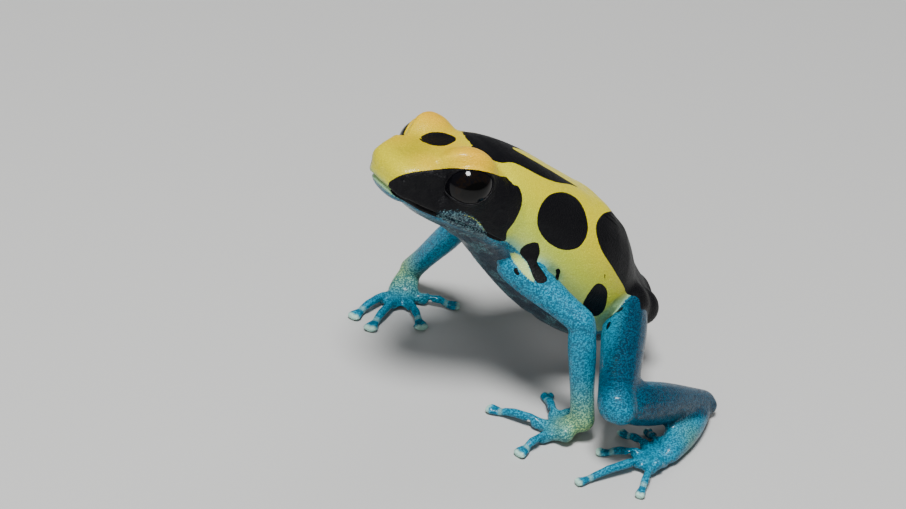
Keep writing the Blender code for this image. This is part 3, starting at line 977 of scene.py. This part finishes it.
BODY_STROKES = (
    Stroke("sacral ridge", ((3.8, 13.4, 17.2), (2.0, 13.9, 17.7), (0.0, 14.1, 17.8)), 1.2, 0.18),
    Stroke("urostyle", (
        (0.0, 15.5, 16.4), (0.0, 18.0, 12.6), (0.0, 20.2, 9.6),
    ), 0.7, 0.16, sides=UNMIRRORED),
    Stroke("hip ridge", ((2.4, 14.6, 16.6), (2.3, 17.2, 12.8), (1.8, 19.2, 10.0)), 0.7, 0.12),
    Stroke("rump hollow", ((1.2, 16.0, 15.2), (1.1, 18.2, 12.0)), 0.5, -0.1),
    Stroke("groin fold", ((6.2, 14.6, 10.4), (6.4, 13.4, 9.2), (6.2, 12.4, 8.0)), 0.4, -0.14),
    Stroke("armpit fold", ((6.2, 6.0, 15.4), (6.4, 7.6, 13.4)), 0.45, -0.12),
    Stroke("flank fold", ((6.1, 4.4, 20.0), (6.2, 5.0, 18.6), (6.3, 5.2, 17.4)), 0.4, -0.06),
    Stroke("chest crease", ((0.0, 2.2, 13.4), (2.4, 2.6, 13.6), (4.4, 2.8, 14.6)), 0.6, -0.07),
    Stroke("vent", ((0.0, 22.2, 6.0), (0.0, 22.0, 5.2)), 0.3, -0.3, sides=UNMIRRORED),
)
MUSCLES = (
    Muscle("shoulder", (5.1, 4.1, 15.1), (1.5, 2.2, 1.6), (0.8, 0.6, -0.5)),
    Muscle("hip", (4.2, 16.6, 8.3), (2.2, 2.4, 2.3), (0.8, -0.5, 0.0)),
    Muscle("buttock", (3.0, 18.4, 7.2), (1.9, 2.4, 2.0), (0.5, 1.0, -0.3)),
    Muscle("lid", (EYE_CENTRE + Vector((0.12, -0.3, 0.05)))[:], (2.75, 2.8, 2.75)),
)


class Value:
    """A value in a material, which Python's operators work on."""

    def __init__(self, finish: "Nodes", socket: bpy.types.NodeSocket) -> None:
        """Wraps an output socket.

        Args:
            finish: The nodes that it belongs to.
            socket: The output.
        """
        self.finish = finish
        self.socket = socket

    def math(self, operation: str, *others: Any) -> "Value":
        """One Math node on this value and others."""
        inputs = dict(enumerate((self, *others)))
        return self.finish.node("ShaderNodeMath", inputs, operation=operation)

    def __add__(self, other: Any) -> "Value":
        """The sum."""
        return self.math("ADD", other)

    def __sub__(self, other: Any) -> "Value":
        """The difference."""
        return self.math("SUBTRACT", other)

    def __rsub__(self, other: Any) -> "Value":
        """The difference, the other way round."""
        return self.finish.node("ShaderNodeMath", {0: other, 1: self}, operation="SUBTRACT")

    def __mul__(self, other: Any) -> "Value":
        """The product."""
        return self.math("MULTIPLY", other)

    def rises(self, low: float, high: float) -> "Value":
        """Rises smoothly from 0 at low to 1 at high, or falls where high is the lower."""
        turned = high < low
        inputs = {0: self, 1: min(low, high), 2: max(low, high), 3: float(turned), 4: float(not turned)}
        return self.finish.node("ShaderNodeMapRange", inputs, interpolation_type="SMOOTHSTEP")


class Nodes:
    """The nodes of one material."""

    def __init__(self, name: str, **constants: Any) -> None:
        """Starts a material.

        Args:
            name: The material's name.
            constants: Values set on the shader's own sockets, by name with underscores for spaces.
        """
        self.material = bpy.data.materials.new(name)
        self.material.use_nodes = True
        self.tree = self.material.node_tree
        self.shader = self.tree.nodes["Principled BSDF"]
        for key, value in constants.items():
            self.shader.inputs[key.replace("_", " ").title().replace("Ior", "IOR")].default_value = value

    def node(
        self, kind: str, inputs: dict[Any, Any] | None = None, output: Any = 0, **settings: Any
    ) -> Value:
        """Adds one node.

        Args:
            kind: The node's type.
            inputs: The values or links of its sockets.
            output: Which output to return.
            settings: The node's own properties, which are set first.

        Returns:
            The output's value.
        """
        made = self.tree.nodes.new(kind)
        for name, value in settings.items():
            setattr(made, name, value)
        for key, value in (inputs or {}).items():
            if isinstance(value, Value):
                self.tree.links.new(value.socket, made.inputs[key])
            elif isinstance(value, tuple) and len(value) == 3 and made.inputs[key].type == "RGBA":
                made.inputs[key].default_value = (*value, 1.0)
            else:
                made.inputs[key].default_value = value
        return Value(self, made.outputs[output])

    def attribute(self, name: str) -> Value:
        """A number stored on the skin."""
        return self.node("ShaderNodeAttribute", output="Fac", attribute_name=name)

    def blend(self, first: Any, second: Any, share: Any, **settings: Any) -> Value:
        """Mixes two colours."""
        inputs = {0: share, 6: first, 7: second}
        return self.node("ShaderNodeMix", inputs, output=2, data_type="RGBA", **settings)

    def vector(self, operation: str, first: Value, second: Any, output: int = 0) -> Value:
        """One Vector Math node on two vectors."""
        return self.node("ShaderNodeVectorMath", {0: first, 1: second}, output, operation=operation)

    def millimetres(self) -> Value:
        """Object coordinates in millimetres."""
        place = self.node("ShaderNodeTexCoord", output="Object")
        return self.node("ShaderNodeVectorMath", {0: place, "Scale": 1 / MM}, operation="SCALE")

    def cells(self, place: Value, scale: float) -> Value:
        """Distances from the middles of packed cells."""
        return self.node("ShaderNodeTexVoronoi", {"Vector": place, "Scale": scale}, output="Distance")

    def noise(self, place: Value, scale: float, detail: float = 2.0) -> Value:
        """Cloudy noise from 0 to 1."""
        return self.node("ShaderNodeTexNoise", {"Vector": place, "Scale": scale, "Detail": detail})

    def feed(self, name: str, value: Value) -> None:
        """Links a value to one of the shader's sockets."""
        self.tree.links.new(value.socket, self.shader.inputs[name])


@dataclass(frozen=True)
class SkinFinish:
    """The moist skin: yellow with black marks above, blue limbs and underside, all finely granular,
    with painted shade on the crown, thighs and shanks and a painted highlight at the knees.
    """

    back_yellow: Point = (0.74, 0.65, 0.003)
    flank_yellow: Point = (0.6, 0.72, 0.06)
    flank_pale: Point = (0.52, 0.73, 0.3)
    # The crown's olive is painted shade: the yellow darkened where the crown lies in shade.
    crown_olive: Point = (0.44, 0.37, 0.001)
    lid_orange: Point = (0.86, 0.47, 0.0)
    groin_green: Point = (0.16, 0.5, 0.45)
    black: Point = (0.002, 0.002, 0.003)
    cyan: Point = (0.0, 0.28, 0.44)
    cyan_furrow: Point = (0.0, 0.1, 0.175)
    # The thighs and shanks are a deeper teal, partly their own colour and partly painted shade.
    teal: Point = (0.0, 0.07, 0.13)
    teal_furrow: Point = (0.0, 0.018, 0.04)
    slate: Point = (0.003, 0.018, 0.034)
    pale: Point = (0.1, 0.26, 0.28)
    sallow: Point = (0.34, 0.56, 0.2)
    sallow_furrow: Point = (0.06, 0.17, 0.1)
    disc: Point = (0.45, 0.72, 0.58)
    pore: Point = (0.62, 0.6, 0.42)
    lip: Point = (0.12, 0.24, 0.26)

    def yellows(self, nodes: Nodes, fine: Value, pores: Value) -> Value:
        """The back and flanks, orange on the lids, with painted shade on the crown, and paling to green
        where they meet the blue.
        """
        skin = self.flank_yellow
        tints = {
            "back_glow": self.back_yellow,
            "flank_glow": self.flank_pale,
            "crown_shade": self.crown_olive,
            "lid_glow": self.lid_orange,
            "fade": self.groin_green,
        }
        for name, colour in tints.items():
            skin = nodes.blend(skin, colour, nodes.attribute(name))
        shade = nodes.blend(skin, self.pore, 1.0, blend_type="MULTIPLY")
        return nodes.blend(skin, shade, pores.rises(0.2, 0.5) * 0.55 + (fine - 0.5) * 0.3)

    def blues(self, nodes: Nodes, place: Value, grain: Value, under: Value) -> Value:
        """The limbs and underside: bright grains over dark skin, deeper on the thighs and shanks, partly
        their own deeper teal and partly painted shade.
        """
        deep_and_shade = nodes.attribute("shaded")
        wrist = nodes.attribute("sallow")
        bright = nodes.blend(nodes.blend(self.cyan, self.teal, deep_and_shade), self.sallow, wrist)
        dark = nodes.blend(nodes.blend(self.cyan_furrow, self.teal_furrow, deep_and_shade), self.sallow_furrow, wrist)
        belly = nodes.blend(self.slate, self.pale, nodes.noise(place, 0.7, 3.0).rises(0.48, 0.62) * 0.8)
        inner = under.rises(-0.3, 1.3)
        bright = nodes.blend(bright, belly, inner)
        dark = nodes.blend(dark, self.slate, inner)
        worn = nodes.noise(place, 1.4, 2.0).rises(0.66, 0.8) * 0.25
        return nodes.blend(dark, bright, (grain + worn).math("MINIMUM", 1.0))

    def tips(self, nodes: Nodes, skin: Value, dither: Value) -> Value:
        """The discs at the ends of the digits: pale, with a dark ring behind them."""
        tip = nodes.attribute("tip_distance") + dither * 0.25
        skin = nodes.blend(skin, self.disc, tip.rises(0.62, 0.2) * 0.8)
        skin = nodes.blend(skin, self.cyan_furrow, tip.rises(0.82, 0.94) * tip.rises(1.22, 1.1) * 0.85)
        return nodes.blend(skin, self.disc, tip.rises(1.2, 1.35) * tip.rises(1.8, 1.5) * 0.3)

    def material(self) -> bpy.types.Material:
        """The skin's material, from the distances stored on the skin."""
        nodes = Nodes("frog_skin", specular_ior_level=0.15, coat_roughness=0.16)
        place = nodes.millimetres()
        fine = nodes.noise(place, 6.0, 2.0)
        warp = nodes.vector("ADD", place, fine * 0.25)
        cells = nodes.cells(warp, 6.2)
        pores = nodes.cells(warp, 7.5)
        dither = fine - 0.5
        grain = cells.rises(0.62, 0.3)

        spots = nodes.attribute("black_depth") + dither * 0.07
        blue = nodes.attribute("blue_depth") + dither * 0.5
        cloud = nodes.noise(place, 0.35, 3.0)
        under = nodes.attribute("under_depth") + (cloud - 0.5) * 1.2
        lip = nodes.attribute("lip_depth") + dither * 0.9

        yellow = self.yellows(nodes, fine, pores)
        skin = nodes.blend(yellow, self.blues(nodes, place, grain, under), blue.rises(-0.05, 0.1))
        patch = nodes.blend(self.slate, self.lip, cells.rises(0.6, 0.25))
        black = spots.rises(-0.015, 0.02)
        skin = nodes.blend(skin, self.black, black)
        skin = nodes.blend(skin, patch, lip.rises(-0.1, 0.1))
        nodes.feed("Base Color", self.tips(nodes, skin, dither))

        rough = nodes.noise(place, 2.2, 3.0)
        nodes.feed("Roughness", rough * 0.2 + 0.28 + black * 0.15)
        nodes.feed("Coat Weight", (rough.rises(0.4, 0.65) * 0.35 + 0.1) * (1.0 - black * 0.8))
        relief = (1.0 - cells) * (blue.rises(-0.3, 0.3) * 0.5 + 0.5) + (1.0 - pores) * 0.4
        bump = nodes.node("ShaderNodeBump", {"Strength": 0.6, "Distance": 0.0001, "Height": relief})
        nodes.feed("Normal", bump)
        return nodes.material


@dataclass(frozen=True)
class EyeFinish:
    """A wet black eye with a faint brown iris round a level pupil."""

    pupil: Point = (0.001, 0.001, 0.001)
    iris: Point = (0.006, 0.0035, 0.002)
    edge: Point = (0.002, 0.002, 0.003)

    def material(self, eye: Eye, frog: FrogFrame) -> bpy.types.Material:
        """One eye's material.

        Args:
            eye: The eye.
            frog: The frog's frame.

        Returns:
            The material.
        """
        nodes = Nodes(f"eye_{eye.side.word}_wet", roughness=0.08, specular_ior_level=0.22)
        _, ahead, up = eye.axes()
        place = nodes.node("ShaderNodeTexCoord", output="Object")
        gap = nodes.vector("SUBTRACT", place, tuple(frog.packed(eye.centre) * MM))
        along = nodes.vector("DOT_PRODUCT", gap, tuple(ahead), 1) * (1 / MM)
        above = nodes.vector("DOT_PRODUCT", gap, tuple(up), 1) * (1 / MM)
        ring = (along * along + above * above).math("SQRT")
        slit = (along * along * 0.55 + above * above * 1.5).math("SQRT")
        fleck = nodes.noise(nodes.millimetres(), 5.0, 3.0)
        iris = nodes.blend(self.iris, self.edge, fleck.rises(0.35, 0.65))
        shade = nodes.blend(iris, self.edge, ring.rises(1.5, 1.8))
        nodes.feed("Base Color", nodes.blend(shade, self.pupil, slit.rises(1.0, 0.85)))
        return nodes.material


@dataclass
class Skin:
    """The frog's one skin, from the frame's flesh to its markings.

    Its flesh swells by `swell`, of which `thin` is left on until it is one surface. A grain is the
    width of the faces and the rounds of smoothing. A reach is how far off a tint, the painted highlight
    at a knee or a digit is felt, and `outer_reach` how near a point is to a limb's outer parts when it
    is surely on them.
    """

    frog: FrogFrame
    view: View
    names: list[str]
    swell: float = 0.2
    thin: float = 0.05
    trunk_grain: Grain = (0.15, 45)
    limb_grain: Grain = (0.12, 26)
    digit_grain: Grain = (0.09, 8)
    skin_grain: Grain = (0.1, 4)
    finger_disc: Flat = (0.72, 0.6)
    toe_disc: Flat = (0.52, 0.5)
    triangles: int = 190000
    knee_reach: float = 2.2
    ankle_reach: float = 1.5
    wrist_reach: float = 2.1
    digit_reach: float = 0.75
    outer_reach: float = 0.3
    not_under: float = -9.0
    limbs: list[Limb] = field(default_factory=list)

    def swollen(self, names: Sequence[str], title: str) -> Thing:
        """A copy of some nodes, grown until those that face each other meet."""
        return grow(self.frog.flesh(names, title), self.swell)

    def evened(self, piece: Thing, grain: Grain) -> Thing:
        """Swollen forms as one surface, drawn back in until it is clear of its neighbours."""
        return grow(soften(piece, *grain), self.thin - self.swell)

    def trunk(self) -> Thing:
        """The head and torso, with the eye sockets filled and the big muscles laid on."""
        forms = [self.swollen(Region.TRUNK.nodes(self.names), "trunk")]
        for muscle in MUSCLES:
            for side in Side:
                radii = tuple(radius + self.swell for radius in muscle.radii)
                forms.append(egg(muscle.name, side.place(muscle.centre), radii, side.place(muscle.aim)))
        return self.evened(joined(forms, "trunk"), self.trunk_grain)

    def surface(self, names: Sequence[str]) -> BVHTree:
        """The surface of some of the frame's flesh, for finding distances."""
        copy = self.frog.flesh(names, "surface")
        tree = surface_of(copy.data)
        bpy.data.objects.remove(copy)
        return tree

    def limb_depth(self, points: Rows) -> Rows:
        """How far points are past the border of trunk and limbs.

        Args:
            points: The skin's points, one to a row.

        Returns:
            The distances, positive on the limbs.
        """
        roots = ("upper_arm", "thigh")
        trunk = Region.TRUNK.nodes(self.names)
        limbs = [name for name in self.names if name not in trunk and not name.startswith("eye_")]
        trees = [
            self.surface(trunk),
            self.surface([name for name in limbs if name.startswith(roots)]),
            self.surface([name for name in limbs if not name.startswith(roots)]),
        ]
        gaps = [np.array([tree.find_nearest(Vector(point))[3] for point in points]) for tree in trees]
        on_outer = np.where(gaps[2] < self.outer_reach, gaps[0] - gaps[2], -FAR)
        return np.maximum(gaps[0] - gaps[1], on_outer)

    def joints(self, limb: Limb) -> list[Thing]:
        """Rounded forms that carry a limb across its joints and to its digits."""
        made = []
        for near, far in zip(limb.parts, limb.parts[1:]):
            size = min(near.radius, far.radius) * 0.92
            made.append(egg("joint", near.end.lerp(far.start, 0.5), (size, size, size)))
        for digit in limb.digits:
            made.append(egg("knuckle", digit.start, (0.5, 0.7, 0.45), digit.way))
        return made

    def disc(self, digit: Bone, width: float, length: float) -> list[Thing]:
        """The disc at a digit's tip: a pad planed off in front, with two small plates on top.

        Args:
            digit: The digit.
            width: The disc's half width.
            length: Its half length.

        Returns:
            The forms.
        """
        way = Vector((digit.way.x, digit.way.y, 0.0)).normalized()
        across = Vector((-way.y, way.x, 0.0))
        tip = Vector((digit.end.x, digit.end.y, 0.0))
        pad = egg("disc", tip - way * length * 0.75 + Vector((0, 0, 0.36)), (width, length, 0.3), way)
        front = tip + way * 0.02
        edit(pad, bpy.ops.mesh.bisect, plane_co=front, plane_no=way, use_fill=True, clear_outer=True)
        forms = [pad]
        for sign in (-1.0, 1.0):
            middle = tip - way * length * 0.8 + across * sign * width * 0.42 + Vector((0, 0, 0.6))
            forms.append(egg("plate", middle, (width * 0.36, length * 0.62, 0.13), way))
        return forms

    def limb(self, side: Side, region: Region, tips: Region, disc_size: Flat) -> Thing:
        """One limb with its digits and discs, as one surface.

        Args:
            side: Its side.
            region: The region of its parts.
            tips: The region of its digits.
            disc_size: The half width and half length of its discs.

        Returns:
            The limb.
        """
        found = Limb.found(self.frog, side, region, tips, self.names)
        self.limbs.append(found)
        title = f"{region.name.lower()}_{side.word}"
        thick = [self.swollen(region.nodes(self.names, side), title), *self.joints(found)]
        forms = [self.evened(joined(thick, title), self.limb_grain)]
        thin = self.swollen(tips.nodes(self.names, side), title + "_digits")
        forms.append(self.evened(thin, self.digit_grain))
        for digit in found.digits:
            forms += self.disc(digit, *disc_size)
        return joined(forms, title)

    def blend_joints(self, piece: Thing) -> None:
        """Smooths the skin more where limbs meet the body and where their parts meet."""
        points = vectors(piece.data.vertices, "co")
        weights = np.zeros(len(points))
        for limb in self.limbs:
            root = limb.parts[0]
            spots = [(root.start.lerp(root.end, 0.12), 2.6, 1.0), (limb.parts[-1].start, 1.2, 0.8)]
            if not limb.is_leg:
                spots.append((root.end, 1.4, 0.7))
            for middle, reach, most in spots:
                weights = np.maximum(weights, most * halo(points, middle, reach))
        group = piece.vertex_groups.new(name="joints")
        steps = np.round(weights * WEIGHT_STEPS).astype(int)
        for step in range(1, WEIGHT_STEPS + 1):
            group.add(np.flatnonzero(steps == step).tolist(), step / WEIGHT_STEPS, "REPLACE")
        apply(piece, "SMOOTH", factor=0.5, iterations=50, vertex_group="joints")
        piece.vertex_groups.clear()

    def build(self, eyes: Sequence[Eye]) -> Thing:
        """Models the skin.

        Args:
            eyes: The eyes that it has lids for.

        Returns:
            The skin, in the frog's millimetres.
        """
        forms = [self.trunk()]
        for side in Side:
            forms.append(self.limb(side, Region.ARM, Region.FINGERS, self.finger_disc))
            forms.append(self.limb(side, Region.LEG, Region.TOES, self.toe_disc))
        skin = soften(joined(forms, "skin"), *self.skin_grain)
        LOG.info("skin: one surface of %d faces", len(skin.data.polygons))
        self.blend_joints(skin)
        clay = Clay(grow(skin, -self.thin))
        clay.strokes(BODY_STROKES)
        clay.strokes(HEAD_STROKES)
        self.stroke_limbs(clay)
        for eye in eyes:
            eye.press_lids(clay)
        clay.points[:, 2] = np.maximum(clay.points[:, 2], 0.0)
        clay.write()
        for eye in eyes:
            eye.socket(skin)
        faces = len(skin.data.polygons)
        triangles = sum(len(face.vertices) - 2 for face in skin.data.polygons)
        apply(skin, "DECIMATE", ratio=min(1.0, self.triangles / triangles), use_collapse_triangulate=True)
        LOG.info("skin: %d faces thinned to %d triangles", faces, len(skin.data.polygons))
        return skin

    def stroke_limbs(self, clay: Clay) -> None:
        """Works the furrow between the plates of each disc and the swelling of each knuckle."""
        strokes = []
        for limb in self.limbs:
            for digit in limb.digits:
                way = Vector((digit.way.x, digit.way.y, 0.0)).normalized()
                tip = Vector((digit.end.x, digit.end.y, 0.75))
                furrow = tuple(tuple(tip - way * back) for back in (0.1, 0.5, 0.95))
                strokes.append(Stroke("plate furrow", furrow, 0.12, -0.1, 0.3, UNMIRRORED))
                knuckle = digit.start.lerp(digit.end, 0.45) + Vector((0.0, 0.0, 0.4))
                strokes.append(Stroke("knuckle", (tuple(knuckle),), 0.4, 0.05, sides=UNMIRRORED))
        clay.strokes(strokes)

    def limb_tints(self, points: Rows) -> dict[str, Rows]:
        """The tints of the limbs, the painted shade on the thighs and shanks with a painted highlight at
        the knee, and the way back from the tips of their digits.

        Args:
            points: The skin's points, one to a row.

        Returns:
            The shares of dark skin, partly painted shade, and of sallow skin, and the distances from the
            nearest tip.
        """
        shaded = np.zeros(len(points))
        sallow = np.zeros(len(points))
        tip = np.full(len(points), FAR)
        for limb in self.limbs:
            if limb.is_leg:
                # The thighs and shanks darken, partly as painted shade, except near the knee, which is left
                # light as a painted highlight.
                shade_but_knee_highlight = 1.0 - 0.9 * halo(points, limb.parts[0].end, self.knee_reach)
                for part in limb.parts[:2]:
                    shaded = np.maximum(shaded, eased(part.depth(points), -0.8, -0.2) * shade_but_knee_highlight)
                ankle = limb.parts[2].start.lerp(limb.parts[2].end, 0.62) + Vector((0.6, 0.6, -0.5))
                pale = 0.5 * halo(points, ankle, self.ankle_reach)
            else:
                wrist = halo(points, limb.parts[1].end, self.wrist_reach, (1.0, 1.0, 0.62))
                pale = np.clip(1.35 * wrist, 0, 1)
            sallow = np.maximum(sallow, pale)
            for digit in limb.digits:
                along = (np.array(digit.end) - points) @ np.array(digit.way)
                tip = np.where(digit.depth(points) > -self.digit_reach, np.minimum(tip, along), tip)
        return {"shaded": shaded, "sallow": sallow, "tip_distance": tip}

    def deepest(self, marks: Sequence[Mark], points: Rows, limb_depth: Rows, under: Rows) -> Rows:
        """How far inside any of some marks points lie, negative outside them all.

        Args:
            marks: The marks.
            points: The skin's points, one to a row.
            limb_depth: How far the points are on to a limb.
            under: How far they are inside the underside.

        Returns:
            The distances in millimetres.
        """
        found = np.full(len(points), -FAR)
        for side in Side:
            seen = side.seen_from(points)
            flat = self.view.flattened(self.frog.turned(seen))
            for mark in marks:
                if side is Side.LEFT or mark.both:
                    limits = (mark.over - limb_depth, mark.below - under)
                    found = np.maximum(found, np.minimum(mark.depth(seen, flat, side), np.minimum(*limits)))
        return found

    def mark(self, skin: Thing) -> None:
        """Lays the markings on the skin as distances from their edges, and its tints as shares."""
        points = vectors(skin.data.vertices, "co")
        limb_depth = self.limb_depth(points)
        under = inside_by(points[:, 1:], np.array(UNDERSIDE))
        black = self.deepest(BLACK_MARKS, points, limb_depth, under)
        stripe = self.deepest([ARM_STRIPE], points, limb_depth, under)
        glow = np.zeros(len(points))
        for seen in (side.seen_from(points) for side in Side):
            for streak in BLACK_STREAKS:
                black = np.maximum(black, streak.depth(seen))
            for middle, reach, most in LID_GLOWS:
                glow = np.maximum(glow, most * halo(seen, middle, reach))
        border = np.maximum(limb_depth, under)
        # Heights as they would be if the back, which slopes down from the nape, were level.
        height = points[:, 2] + 0.95 * np.maximum(points[:, 1] - 4.0, -2.0)
        layers = {
            "black_depth": black,
            "blue_depth": np.minimum(border, -stripe),
            "under_depth": np.where(limb_depth > -0.2, self.not_under, under),
            "fade": 0.8 * eased(border, -1.1, 0.1) * eased(stripe, 0.1, -0.15),
            "lid_glow": glow,
            "crown_shade": halo(points, *CROWN),
            "back_glow": eased(height, 18.0, 24.0),
            "flank_glow": eased(height, 19.5, 15.5) * eased(points[:, 1], 1.0, 4.0) * 0.95,
            "lip_depth": self.deepest([LIP_PATCH], points, limb_depth, under),
            **self.limb_tints(points),
        }
        for name, values in layers.items():
            layer = skin.data.attributes.new(name, "FLOAT", "POINT")
            layer.data.foreach_set("value", values.astype(np.float32))

    def dress(self, skin: Thing) -> None:
        """Marks the skin, gives it its finish and sets it on the frame."""
        self.mark(skin)
        skin.data.materials.clear()
        skin.data.materials.append(SkinFinish().material())
        skin.data.shade_smooth()
        self.frog.settle(skin)
        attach(skin, "root")
        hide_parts(*[name for name in self.names if not name.startswith("eye_")])
        LOG.info("skin: marked and dressed")


@dataclass(frozen=True)
class Studio:
    """The pale floor, the soft lights and the camera."""

    frog: FrogFrame
    view: View
    floor_size: float = 3.0
    floor_colour: tuple[float, ...] = (0.5, 0.5, 0.49, 1.0)
    sky_colour: tuple[float, ...] = (0.94, 0.96, 1.0, 1.0)
    sky_strength: float = 0.12

    def floor(self) -> None:
        """Lays the floor."""
        deselect()
        bpy.ops.mesh.primitive_plane_add(size=self.floor_size)
        floor = bpy.context.active_object
        floor.name = "floor"
        nodes = Nodes("pale_floor", roughness=0.6, base_color=self.floor_colour)
        floor.data.materials.append(nodes.material)

    def light(
        self, name: str, way: Point, distance: float, size: float, watts: float, shines: bool = True
    ) -> None:
        """Hangs one round soft light that faces the frog's head.

        Args:
            name: The light's name.
            way: The direction that it hangs in.
            distance: How far off it hangs, in metres.
            size: The width of its panel.
            watts: Its power.
            shines: Whether wet surfaces mirror its panel.
        """
        deselect()
        aim = Vector(way).normalized()
        head = (EYE_CENTRE + self.frog.origin) * MM
        turn = aim.to_track_quat("Z", "Y").to_euler()
        bpy.ops.object.light_add(type="AREA", location=head + aim * distance, rotation=turn)
        lamp = bpy.context.active_object
        lamp.name = name
        lamp.data.shape = "DISK"
        lamp.data.size = size
        lamp.data.energy = watts
        lamp.visible_glossy = shines

    def camera(self) -> None:
        """Sets the camera on the line of sight."""
        right, up, back = self.view.axes()
        middle = (Vector(self.view.target) + self.frog.origin) * MM
        turn = Matrix((right, up, back)).transposed().to_euler()
        deselect()
        bpy.ops.object.camera_add(location=middle + back * self.view.distance * MM, rotation=turn)
        camera = bpy.context.active_object
        camera.data.lens = self.view.lens
        camera.data.sensor_width = self.view.sensor
        camera.data.clip_start = 0.01
        bpy.context.scene.camera = camera

    def build(self) -> None:
        """Builds the studio."""
        self.floor()
        self.light("key", (0.28, -0.24, 0.93), 0.42, 0.13, 3.4)
        self.light("fill", (0.55, -0.75, 0.35), 0.9, 1.0, 2.6, shines=False)
        self.light("rim", (-0.5, 0.7, 0.55), 0.45, 0.25, 0.4, shines=False)
        world = bpy.data.worlds.new("studio")
        bpy.context.scene.world = world
        world.use_nodes = True
        sky = world.node_tree.nodes["Background"]
        sky.inputs["Color"].default_value = self.sky_colour
        sky.inputs["Strength"].default_value = self.sky_strength
        self.camera()


def main() -> None:
    """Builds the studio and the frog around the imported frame."""
    logging.basicConfig(level=logging.INFO, format="%(message)s")
    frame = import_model()
    frog = FrogFrame.found()
    view = View()
    Studio(frog, view).build()
    eyes = [Eye(side) for side in Side]
    skin = Skin(frog, view, sorted(frame["nodes"]))
    surface = skin.build(eyes)
    skin.dress(surface)
    for eye in eyes:
        eye.build(EyeFinish(), frog)
    deselect()


if __name__ == "__main__":
    main()
